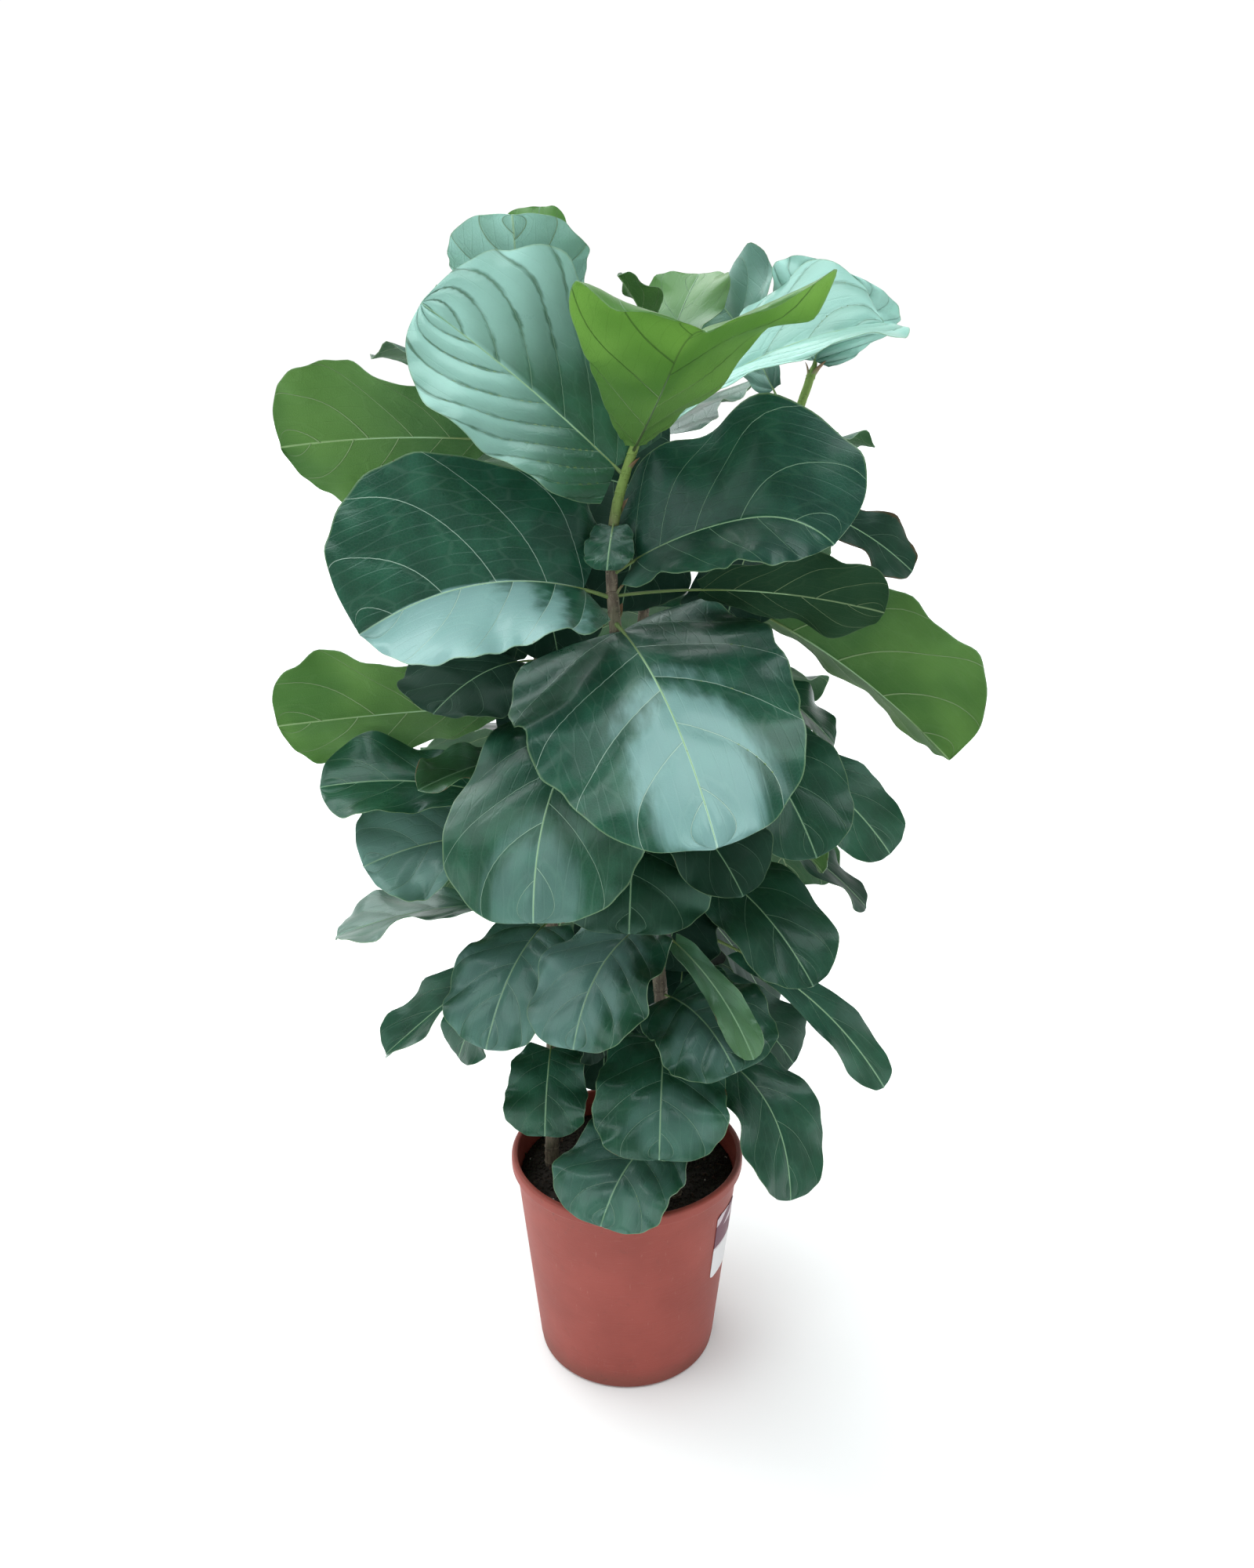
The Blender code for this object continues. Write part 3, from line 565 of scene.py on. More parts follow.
def leaf_finish(name, upper):
    """Waxy upper face or paler matt under face, with its midrib, side veins, fine net, and painted sheen,
    highlights and shade.
    """
    f = Finish(name)
    number, out, _ = f.apart(f.uv("veins"))
    flat = f.uv("flat")
    aside = f.apart(flat)[0].math("ABSOLUTE")
    fresh, worn, bloom, deep, ribbed, gloss, spot = (f.attribute(key) for key in PAINTED)

    to_vein = ((number + 0.5).math("FRACT") - 0.5).math("ABSOLUTE")
    thin = (0.009 if upper else 0.016) * (1 - 0.45 * out)
    side = 1 - f.fade(to_vein / thin, 0.5, 1.7)
    middle = 1 - f.fade(aside, 0.0005, 0.0012)
    ladder = 1 - f.fade(f.cells(f.joined(number * 1.3, aside / 0.0105), loose=0.75), 0.015, 0.075)
    net = 1 - f.fade(f.cells(flat, scale=330.0), 0.03, 0.16)
    lines = side.math("MAXIMUM", middle).math("MAXIMUM", 0.06 * ladder).math("MAXIMUM", 0.025 * net)
    mottle = f.noise(f.at, 38.0, 4.0)
    cloud = f.noise(f.at, 9.0, 2.0)
    folds = f.fade(f.noise(f.joined(number * 1.6, aside * 120.0), 1.0, 2.0), 0.35, 0.65)
    panel = f.fade(to_vein + 0.07 * (folds - 0.5), 0.01, 0.12)

    if upper:
        old = f.mix((0.008, 0.058, 0.037), (0.018, 0.105, 0.064), f.fade(mottle, 0.35, 0.7))
        young = f.mix((0.11, 0.26, 0.06), (0.17, 0.36, 0.09), f.fade(cloud, 0.35, 0.65))
        # veins turn paler inside the painted highlight
        vein_tint = f.mix((0.3, 0.52, 0.33), (0.7, 0.9, 0.78), gloss)
    else:
        old = f.mix((0.036, 0.11, 0.055), (0.06, 0.15, 0.07), f.fade(mottle, 0.35, 0.7))
        young = f.mix((0.11, 0.25, 0.036), (0.245, 0.47, 0.085), f.fade(cloud, 0.33, 0.67))
        # painted shade: veins of young backlit under faces drawn dark, as with light through the blade
        vein_tint = f.mix((0.4, 0.57, 0.28), (0.05, 0.09, 0.03), f.fade(fresh, 0.62, 0.8))
    # painted shade: leaves deep in the foliage darkened in their colour
    old = f.mix(old, (0.003, 0.018, 0.012), deep * 0.85)
    # young leaves' paler green, brightened as painted backlight
    skin = f.mix(old, young, fresh)
    # painted light across each panel between the veins: one side lit, the other in shade
    panel_lit_side = f.fade(number.math("FRACT"), 0.05, 0.95)
    # painted shade in the grooves beside the veins; the same key also raises the ribs in the relief below
    groove_shade = ribbed * (1 - panel) * (0.25 + 0.65 * f.fade(f.noise(f.at, 24.0, 2.0), 0.42, 0.58))
    # painted sheen: a pale reflection of the sky painted into the colour, lighter on each panel's lit
    # side and missing from the shaded grooves
    sheen_share = bloom * (0.82 + 0.28 * panel_lit_side) * (1 - groove_shade) * (0.9 + 0.9 * (cloud - 0.5))
    skin = f.mix(skin, (0.45, 0.79, 0.71), sheen_share)
    # painted highlight: an aqua reflection patch around each leaf's spot, broken up by streaks and the
    # panels
    streak = f.noise(f.joined(number * 0.9, aside * 30.0), 2.2, 3.0)
    highlight_mask = f.fade(spot + 0.6 * (streak - 0.5) + 0.26 * (panel_lit_side - 0.5), 0.36, 0.86)
    skin = f.mix(skin, (0.39, 0.66, 0.66), highlight_mask * gloss)
    skin = f.mix(skin, vein_tint, lines * 0.62)
    rim = f.fade(out, 0.982, 0.997)
    skin = f.mix(skin, (0.26, 0.4, 0.2), rim * 0.5)
    patch = f.noise(f.at, 55.0, 5.0, 0.7)
    browned = f.fade(out + 0.35 * (patch - 0.5), 1.06 - 0.16 * worn, 1.08 - 0.1 * worn)
    specks = f.fade(f.noise(f.at, 160.0, 2.0), 0.74, 0.8) * worn
    skin = f.mix(skin, (0.12, 0.06, 0.022), browned.math("MAXIMUM", specks * 0.7))

    if upper:
        height = 0.16 * mottle - 0.8 * side - 0.14 * ladder - 0.05 * net + 0.25 * middle
        height = height + 0.8 * ribbed * panel
        depth = 0.0007
        rough = 0.2 + 0.14 * f.noise(f.at, 30.0, 3.0) + 0.04 * net + 0.3 * deep
        shine = 0.45
    else:
        height = 0.3 * mottle + 1.3 * side + 0.2 * ladder + 0.1 * net
        depth = 0.0011
        rough = 0.52 + 0.16 * f.noise(f.at, 70.0, 4.0)
        shine = 0.14
    face = f.add("ShaderNodeBsdfPrincipled", Base_Color=skin, Roughness=rough,
                 Normal=f.bump(height, depth), Specular_IOR_Level=shine,
                 Coat_Weight=0.2 * (1 - deep) if upper else 0.0, Coat_Roughness=0.14,
                 Specular_Tint=(0.7, 1.0, 0.95))
    glow = f.add("ShaderNodeBsdfTranslucent", Color=(0.22, 0.44, 0.14))
    share = 0.14 + 0.26 * fresh - 0.13 * lines
    lit = f.add("ShaderNodeMixShader", share, face, glow)
    # painted shade: a flat dark diffuse mixed over the leaves in shade
    shade = f.add("ShaderNodeBsdfDiffuse", Color=(0.004, 0.022, 0.015))
    return f.done(f.add("ShaderNodeMixShader", 0.6 * deep * deep, lit, shade))


def rib_finish():
    """Leaf stalks and midribs: green where they leave the stem, paler along the blade."""
    f = Finish("leaf_stalk")
    share = f.attribute("share")
    mottle = f.noise(f.at, 120.0, 3.0)
    stalk = f.mix((0.11, 0.19, 0.05), (0.18, 0.26, 0.08), mottle)
    skin = f.mix(stalk, (0.3, 0.5, 0.26), f.fade(share, 0.1, 0.3))
    # painted shade: midribs of young backlit leaves darkened, as with light through the blade
    skin = f.mix(skin, (0.05, 0.085, 0.03), f.attribute("backlit_rib_shade") * 0.85)
    skin = f.mix(skin, (0.12, 0.085, 0.04), f.fade(f.noise(f.at, 260.0, 2.0), 0.68, 0.74) * 0.6)
    return f.plain(skin, 0.45 + 0.15 * mottle, mottle, 0.0004)


def bark_finish():
    """Stem: grey-brown corky bark low down, green and smooth near the tip, with pale lenticels."""
    f = Finish("fig_bark")
    share = f.attribute("share")
    grain = f.noise(f.scaled(f.at, (1.0, 1.0, 0.22)), 260.0, 5.0, 0.65)
    cloud = f.noise(f.at, 45.0, 3.0)
    bark = f.mix((0.085, 0.064, 0.045), (0.23, 0.19, 0.135), f.fade(grain, 0.35, 0.68))
    bark = f.mix(bark, (0.12, 0.13, 0.07), f.fade(cloud, 0.45, 0.7) * 0.5)
    spots = 1 - f.fade(f.cells(f.scaled(f.at, (1.0, 1.0, 1.8)), "F1", 190.0, flat=False), 0.16, 0.26)
    bark = f.mix(bark, (0.33, 0.27, 0.19), spots * 0.65)
    green = f.mix((0.15, 0.25, 0.05), (0.23, 0.34, 0.08), cloud)
    skin = f.mix(bark, green, f.fade(share + 0.1 * (cloud - 0.5), 0.7, 0.86))
    return f.plain(skin, 0.62 + 0.2 * grain, grain + 0.5 * spots, 0.0009)


def scale_finish():
    """Papery stipules: brown and dry at the tip, greenish at the foot."""
    f = Finish("stipule")
    share = f.attribute("share")
    streak = f.noise(f.scaled(f.at, (1.0, 1.0, 0.15)), 500.0, 3.0)
    dry = f.fade(share + 0.4 * (streak - 0.5), 0.25, 0.7)
    skin = f.mix((0.21, 0.26, 0.11), (0.2, 0.12, 0.06), dry)
    skin = f.mix(skin, (0.36, 0.3, 0.2), f.fade(streak, 0.58, 0.72) * 0.5)
    return f.plain(skin, 0.7, streak, 0.0004)


def pot_finish():
    """Terracotta-coloured moulded plastic, with faint rings, scuffs, dust and soil splashes."""
    f = Finish("pot_plastic")
    z = f.apart(f.at)[2]
    cloud = f.noise(f.at, 14.0, 3.0)
    grain = f.noise(f.at, 900.0, 3.0)
    rings = f.noise(f.joined(0.0, 0.0, z), 420.0, 2.0)
    scuff = f.noise(f.scaled(f.at, (1.0, 1.0, 7.0)), 60.0, 5.0, 0.7)
    scratch = f.fade(f.noise(f.scaled(f.at, (1.0, 1.0, 0.12)), 340.0, 4.0, 0.7), 0.64, 0.72)
    skin = f.mix((0.282, 0.042, 0.027), (0.34, 0.056, 0.038), f.fade(cloud, 0.3, 0.7))
    skin = f.mix(skin, (0.4, 0.13, 0.1), f.fade(scuff, 0.56, 0.72) * 0.25)
    skin = f.mix(skin, (0.52, 0.26, 0.2), scratch * 0.25)
    low = 1 - f.fade(z + 0.02 * (cloud - 0.5), 0.004, 0.03)
    skin = f.mix(skin, (0.17, 0.06, 0.04), low * 0.45)
    inside = f.fade(z, SOIL_TOP - 0.02, SOIL_TOP + 0.006)
    mud = f.fade(f.noise(f.at, 120.0, 4.0, 0.7), 0.6, 0.68)
    skin = f.mix(skin, (0.06, 0.03, 0.02), mud * (0.12 + 0.25 * low + 0.15 * inside))
    rough = 0.4 + 0.18 * scuff + 0.1 * grain + 0.1 * low
    return f.plain(skin, rough, 0.25 * grain + 0.5 * rings + 0.3 * scuff, 0.0004)


def soil_finish(name, dark, light):
    """Crumbly matt stuff in two tones, darker in patches."""
    f = Finish(name)
    mottle = f.noise(f.at, 420.0, 5.0, 0.7)
    patches = f.noise(f.at, 60.0, 3.0)
    skin = f.mix(dark, light, f.fade(mottle, 0.35, 0.75))
    skin = f.mix(skin, dark, f.fade(patches, 0.4, 0.65) * 0.6)
    return f.plain(skin, 0.8 + 0.15 * mottle, mottle, 0.0016)


def label_finish():
    """Plain film label: plum band with pale sweeps above, blank white panel below."""
    f = Finish("label_film")
    x, y, z = f.apart(f.at)
    fibre = f.noise(f.at, 700.0, 3.0)
    cloud = f.noise(f.at, 60.0, 3.0)
    turn = f.math("ARCTAN2", y, x)
    sweep = f.math("SINE", 260.0 * (z - 0.5 * POT_RIM_R * turn) + 3.0 * cloud)
    plum = f.mix((0.11, 0.02, 0.045), (0.17, 0.04, 0.075), cloud)
    top = f.fade(z, 0.168, 0.17) * f.fade(sweep, 0.0, 0.4)
    plum = f.mix(plum, (0.7, 0.6, 0.64), top * 0.85)
    panel = 1 - f.fade(z, LABEL_SPLIT_Z, LABEL_SPLIT_Z + 0.0006)
    skin = f.mix(plum, (0.78, 0.76, 0.77), panel)
    frame_line = f.fade((z - LABEL_SPLIT_Z).math("ABSOLUTE"), 0.0012, 0.0016)
    skin = f.mix((0.62, 0.56, 0.58), skin, frame_line)
    dirt = f.fade(f.noise(f.at, 90.0, 5.0, 0.7), 0.6, 0.72)
    skin = f.mix(skin, (0.42, 0.33, 0.3), dirt * 0.3)
    return f.plain(skin, 0.42 + 0.2 * fibre, fibre, 0.00015)


def floor_finish():
    f = Finish("pale_floor")
    tone = f.noise(f.at, 1.5, 2.0)
    skin = f.mix((0.86, 0.86, 0.86), (0.9, 0.9, 0.9), tone)
    return f.done(f.add("ShaderNodeBsdfPrincipled", Base_Color=skin, Roughness=0.85,
                        Emission_Color=(1.0, 1.0, 1.0), Emission_Strength=0.1))


UPPER_FACE = leaf_finish("leaf_upper_face", True)
UNDER_FACE = leaf_finish("leaf_under_face", False)
LEAF_STALK = rib_finish()
BARK = bark_finish()
STIPULE = scale_finish()
POT_PLASTIC = pot_finish()
SOIL = soil_finish("potting_soil", (0.01, 0.006, 0.004), (0.05, 0.03, 0.018))
CHIPS = soil_finish("bark_chips", (0.045, 0.022, 0.012), (0.15, 0.08, 0.045))
PERLITE = soil_finish("perlite", (0.42, 0.39, 0.35), (0.62, 0.6, 0.56))
LABEL_FILM = label_finish()


# leaves

def blade_form(spec, index, rows, cols):
    """Middle surface of a blade: points, side vein numbers of both halves, outward share, flat place."""
    run, points, across, up = midrib(spec)
    blade = run[-1] - spec.stalk
    half = spec.width / 2
    knots = np.array(OUTLINES[spec.shape]).T / 100
    rho = 1 - (1 - np.linspace(0, 1, rows)) ** 1.2
    edge = smooth_through(knots, rho * (len(knots) - 1))
    share = np.linspace(-1, 1, 2 * cols + 1)
    share = np.sign(share) * np.abs(share) ** 1.15
    out = np.abs(share)[None, :]
    sign = np.sign(share)[None, :]
    rho = rho[:, None]
    lead = 0.75 + 0.85 * np.clip(4 * rho, 0, 1)
    forward = (edge[:, 0:1] + (edge[:, 1:2] - edge[:, 0:1]) * out ** lead) * blade
    draw = np.random.default_rng(100 + index).uniform(0, 2 * pi, 2)
    phase = np.where(sign > 0, draw[0], draw[1])
    more = np.random.default_rng(500 + index).uniform(0, 2 * pi, (4, 2))
    more = np.where(sign > 0, more[:, :1, None], more[:, 1:, None])
    scallop = 0.02 * np.sin(2 * pi * 4.3 * rho + more[0])
    scallop = scallop + 0.011 * np.sin(2 * pi * 9.1 * rho + more[1])
    aside = np.maximum(edge[:, 2:3], 0) * half * out * (1 + spec.more * sign) * (1 + scallop * out ** 2)
    tilt = np.radians(np.where(sign > 0, spec.left, spec.right) + 0.5 * spec.curl * aside / half)
    lift = spec.wave * (aside / half) ** 2 * np.sin(2 * pi * 2.3 * forward / blade + phase)
    ruffle = 0.55 * np.sin(2 * pi * 5.7 * rho + more[2]) + 0.45 * np.sin(2 * pi * 9.7 * rho + more[3])
    lift = lift + 0.0022 * (half / 0.09) * out ** 5 * ruffle

    def number(way):
        swing = 0.035 * way * np.sin(pi * rho)
        return spec.veins * (rho + swing - spec.sweep * out - 0.04 * out ** 3)

    count = number(sign)
    panel = np.abs(2 * (count - np.floor(count)) - 1)
    calm = np.clip(out / 0.12, 0, 1) * (1 - out ** 6)
    calm = calm * np.clip(rho / 0.06, 0, 1) * np.clip((1 - rho) / 0.1, 0, 1)
    lift = lift + 0.001 * spec.quilt * (half / 0.1) * (1 - panel ** 2.4) * calm
    where = spec.stalk + forward
    grid = (read_at(run, points, where)
            + (sign * aside * np.cos(tilt))[..., None] * read_at(run, across, where)
            + (aside * np.sin(tilt) + lift)[..., None] * read_at(run, up, where))
    spread = np.broadcast_to(out, forward.shape)
    return grid, (number(-1.0), number(1.0)), spread, (sign * aside, forward)


def ease(value, low, high):
    """Smooth step from 0 at low to 1 at high."""
    value = np.clip((value - low) / (high - low), 0, 1)
    return value * value * (3 - 2 * value)


def painted_sheen_maps(flat, spec):
    """Two maps of the blade: its painted sky sheen, and how near the painted highlight spot is."""
    aside = flat[0] / np.abs(flat[0]).max()
    along = flat[1] / flat[1].max()
    near, far = spec.green_base
    reach = np.where(aside < 0, far, near)
    sheen_share = spec.bloom * ease(along + 0.25 * np.abs(aside), reach - 0.35, reach + 0.25)
    middle_aside, middle_along, wide, long = spec.spot
    gone = np.hypot((aside - middle_aside) / wide, (along - middle_along) / long)
    off_side = (aside * middle_aside < 0) & (abs(middle_aside) > 0.3)
    return sheen_share, np.where(off_side, 0, np.clip(1.5 - gone, 0, 1))


def blade_object(name, form, spec):
    """Closed thin blade whose corners carry the vein map; the last row is one point."""
    grid, numbers, out, flat = form
    rows, cols = grid.shape[:2]
    normal = np.cross(np.gradient(grid, axis=0), np.gradient(grid, axis=1))
    normal /= np.maximum(np.linalg.norm(normal, axis=-1, keepdims=True), 1e-12)
    full = rows - 1
    tip = grid[full, cols // 2]
    points = []
    for shift in (BLADE_THICK / 2, -BLADE_THICK / 2):
        points.append((grid[:full] + shift * normal[:full]).reshape(-1, 3))
        points.append((tip + shift * normal[full - 1, cols // 2])[None])
    points = np.concatenate(points)
    under = full * cols + 1

    def spot(i, j, face):
        return face * under + (i * cols + j if i < full else full * cols)

    faces, corners, slots = [], [], []
    for i in range(full):
        for j in range(cols - 1):
            half = int(j >= cols // 2)
            ring = [(i, j), (i + 1, j), (i + 1, j + 1), (i, j + 1)]
            if i == full - 1:
                ring = [(i, j), (i + 1, j), (i, j + 1)]
            for face in (0, 1):
                order = ring if face == 0 else ring[::-1]
                faces.append([spot(a, b, face) for a, b in order])
                corners += [(a, b, half) for a, b in order]
                slots.append(face)
    border = [(0, j) for j in range(cols)] + [(i, cols - 1) for i in range(1, rows)]
    border += [(i, 0) for i in range(rows - 2, 0, -1)]
    for a, b in zip(border, border[1:] + border[:1]):
        half = int(min(a[1], b[1]) >= cols // 2)
        faces.append([spot(*a, 0), spot(*b, 0), spot(*b, 1), spot(*a, 1)])
        corners += [(*a, half), (*b, half), (*b, half), (*a, half)]
        slots.append(0)
    mesh = new_mesh(name, points.tolist(), faces)
    i, j, half = np.array(corners).T
    for key, first, second in (("veins", np.stack(numbers)[half, i, j], out[i, j]),
                               ("flat", flat[0][i, j], flat[1][i, j])):
        layer = mesh.uv_layers.new(name=key)
        layer.data.foreach_set("uv", np.stack([first, second], -1).ravel())
    sheen_share, highlight_share = painted_sheen_maps(flat, spec)
    # young colour, partly painted backlight: strongest at the tip and fading to painted shade near the
    # stem
    young_backlit_share = spec.fresh * (0.55 + 0.55 * ease(flat[1] / flat[1].max(), 0.15, 0.85))
    maps = {"bloom": (sheen_share, spec.bloom), "spot": (highlight_share, 0.0), "fresh": (young_backlit_share, spec.fresh)}
    for key in PAINTED:
        if key in maps:
            grid_value, tip_value = maps[key]
            value = np.tile(np.append(grid_value[:full].ravel(), tip_value), 2)
        else:
            value = np.full(len(points), float(getattr(spec, key)))
        paint(mesh, key, value)
    dress(mesh, BLADE_SOFT, UPPER_FACE, UNDER_FACE)
    mesh.polygons.foreach_set("material_index", slots)
    return placed(name, mesh)


def path_mesh(paths):
    """Edges along several paths, each a list of (point, radius, share, painted backlit shade)."""
    rows = [row for path in paths for row in path]
    ends = np.cumsum([len(path) for path in paths])
    edges = [(k - 1, k) for k in range(1, len(rows)) if k not in ends]
    mesh = new_mesh("paths", [tuple(row[0]) for row in rows], (), edges)
    for column, key in enumerate(("thick", "share", "backlit_rib_shade"), 1):
        paint(mesh, key, [float(row[column]) for row in rows])
    return placed("paths", mesh)


def rod_shaping():
    """Round rods along paths, as thick as each path says."""
    g = Shaping("rods", {"Sides": 8})
    line = g.geo("MeshToCurve", Mesh=g.given)
    g.finish(g.tube(line, g.ring(g.size("Sides"))), LEAF_STALK)
    return g


def stem_shaping():
    """Stem swept along its line, roughened, with a raised ring at each old leaf and bud scar."""
    g = Shaping("stem", {"Sides": 18, "Step": 0.004, "Scar step": SCAR_EVERY, "Bark": 0.0007, "Seed": 5})
    line = g.geo("MeshToCurve", Mesh=g.given)
    ring = g.ring(g.size("Sides"))
    rod = g.tube(g.evenly(line, g.size("Step")), ring)
    rough = g.noise(g.geo("InputPosition"), 240.0, 3.0) - 0.5
    push = g.add("ShaderNodeVectorMath", g.geo("InputNormal"),
                 Scale=rough * g.size("Bark") * 2.0, operation="SCALE")
    rod = g.geo("SetPosition", Geometry=rod, Offset=push)
    beads = g.evenly(line, g.size("Scar step"))
    hoop = g.geo("CurveToMesh", Curve=ring, Profile_Curve=g.ring(5, 0.1))
    turn = g.add("FunctionNodeAlignRotationToVector", Vector=g.geo("InputTangent"), axis="Z")
    wide = g.named("thick") * g.between(0.93, 1.03, g.size("Seed"))
    scars = g.geo("InstanceOnPoints", Points=beads, Instance=hoop, Rotation=turn,
                  Scale=g.joined(wide, wide, wide))
    g.finish(g.joined_up(rod, scars), BARK)
    return g


def rib_path(spec):
    """Stalk and midrib; under the blade only the midrib's back stands out."""
    run, points, _, up = midrib(spec)
    blade = run[-1] - spec.stalk
    size = min(max(blade / 0.24, 0.6), 1.1)
    # painted shade on the midribs of young backlit leaves
    dark = 1.0 if spec.fresh > 0.7 else 0.0
    path = []
    for s in np.linspace(0, spec.stalk + 0.975 * blade, RIB_POINTS):
        way = (s - spec.stalk) / blade
        radius = STALK_R * (1 - 0.3 * s / max(spec.stalk, 1e-3)) if way < 0 else STALK_R * 0.68
        radius *= size if way < 0 else size * (1 - 0.82 * way ** 0.5)
        sink = min(max(way / 0.06, 0), 1) * (BLADE_THICK / 2 + 0.00035 - radius)
        centre = read_at(run, points, s) + sink * read_at(run, up, s)
        path.append((centre, radius, max(way, 0) + 0.02, dark))
    return path


def stem_path(name):
    """The stem, tapering to its tip, and the pointed bud on it."""
    line = stem_line(name)
    tip_way = unit(line[-1] - line[-6])
    share = np.linspace(0, 1, len(line))
    path = [(p, ROOT_R + (APEX_R - ROOT_R) * s, s, 0.0) for p, s in zip(line, share)]
    for far, slim in ((0.3, 1.1), (0.55, 0.85), (0.8, 0.5), (1.0, 0.12)):
        path.append((line[-1] + tip_way * BUD_LONG * far, APEX_R * slim, 1.0, 0.0))
    return path


def stipule_points(root, way, lean, long):
    """Rows of points on a small papery scale that curls outward."""
    side = unit(np.cross(way, lean))
    rows = []
    for s in np.linspace(0, 1, STIPULE_GRID[0]):
        half = STIPULE_WIDE / 2 * sin(pi * (0.18 + 0.82 * s)) ** 0.8 * (1 - 0.25 * s)
        middle = root + way * long * s + lean * (0.003 + long * 0.35 * s ** 2)
        places = np.linspace(-1, 1, STIPULE_GRID[1])
        rows.append([middle + side * half * t - lean * half * 0.5 * t * t for t in places])
    return np.array(rows)


def sheet_faces(rows, cols, first=0):
    """Faces of a closed thin sheet: two layers of points, row by row, numbered from first."""
    layer = rows * cols
    low = np.arange(first, first + layer).reshape(rows, cols).tolist()
    faces = []
    for near, far in zip(low, low[1:]):
        for ring in zip(near, near[1:], far[1:], far):
            faces.append([k + layer for k in ring])
            faces.append(ring[::-1])
    border = low[0] + [row[-1] for row in low[1:]] + low[-1][-2::-1] + [row[0] for row in low[-2:0:-1]]
    for a, b in zip(border, border[1:] + border[:1]):
        faces.append([a, b, b + layer, a + layer])
    return faces


def build_stipules(name):
    """Scales round the bud and beside the youngest leaves."""
    rng = np.random.default_rng(sum(map(ord, name)))
    points, faces, share = [], [], []
    line = stem_line(name)
    tip = line[-1]
    tip_way = unit(line[-1] - line[-8])
    homes = [(tip, rng.uniform(0, 6.28), STIPULE_AT_BUD) for _ in range(2)]
    for spec in LEAVES:
        if spec.stem == name and spec.height > tip[2] - YOUNG_FROM_TIP:
            homes.append((stem_at(name, spec.height), radians(spec.heading + 150), STIPULE_AT_LEAF))
    for root, turn, long in homes:
        lean = np.array(around(1.0, turn))
        grid = stipule_points(root, tip_way, lean, long * rng.uniform(0.8, 1.15))
        faces += sheet_faces(*STIPULE_GRID, len(points))
        for shift in (0.0, STIPULE_THICK):
            points += (grid + lean * shift).reshape(-1, 3).tolist()
            share += np.repeat(np.linspace(0, 1, STIPULE_GRID[0]), STIPULE_GRID[1]).tolist()
    mesh = new_mesh("stipules_" + name, points, faces)
    paint(mesh, "share", share)
    mesh.materials.append(STIPULE)
    mesh.shade_smooth()
    return placed(mesh.name, mesh)


rods = rod_shaping()
stems = stem_shaping()
for stem_name in STEMS:
    node = "leafy_stem_" + stem_name
    settle(stems.run(path_mesh([stem_path(stem_name)]), "stem_" + stem_name), node)
    own = [(k, spec) for k, spec in enumerate(LEAVES) if spec.stem == stem_name]
    ribs = path_mesh([rib_path(spec) for _, spec in own])
    settle(rods.run(ribs, "stalks_" + stem_name), node)
    settle(build_stipules(stem_name), node)
    for count, (k, spec) in enumerate(own, 1):
        behind = 45 < spec.heading < 140 or spec.width < 0.09
        form = blade_form(spec, k, *(BACK_GRID if behind else BLADE_GRID))
        settle(blade_object(f"leaf_{stem_name}_{count:02d}", form, spec), node)


# pot, soil and label

def wall_radius(z):
    """Outer radius of the pot's plain wall."""
    return POT_BASE_R + (POT_RIM_R - RIM_PROUD - POT_BASE_R) * z / POT_H


def lathe_mesh(profile, sides, shape=None):
    """Closed body turned about Z; shape may move a point, given its radius, height and turn."""
    points = [(0.0, 0.0, profile[0][1])]
    for radius, height in profile[1:-1]:
        for k in range(sides):
            turn = 2 * pi * k / sides
            r, z = shape(radius, height, turn) if shape else (radius, height)
            points.append(around(r, turn, z))
    points.append((0.0, 0.0, profile[-1][1]))
    faces = []
    last = len(points) - 1
    for k in range(sides):
        n = (k + 1) % sides
        faces.append([0, 1 + n, 1 + k])
        for ring in range(1, last - sides, sides):
            faces.append([ring + k, ring + n, ring + n + sides, ring + k + sides])
        faces.append([last - sides + k, last - sides + n, last])
    return new_mesh("turned", points, faces)


def arc(centre, radius, start, end, steps):
    """Points of a rounded corner, in degrees anticlockwise from outward."""
    turns = np.radians(np.linspace(start, end, steps))
    return [(centre[0] + radius * cos(t), centre[1] + radius * sin(t)) for t in turns]


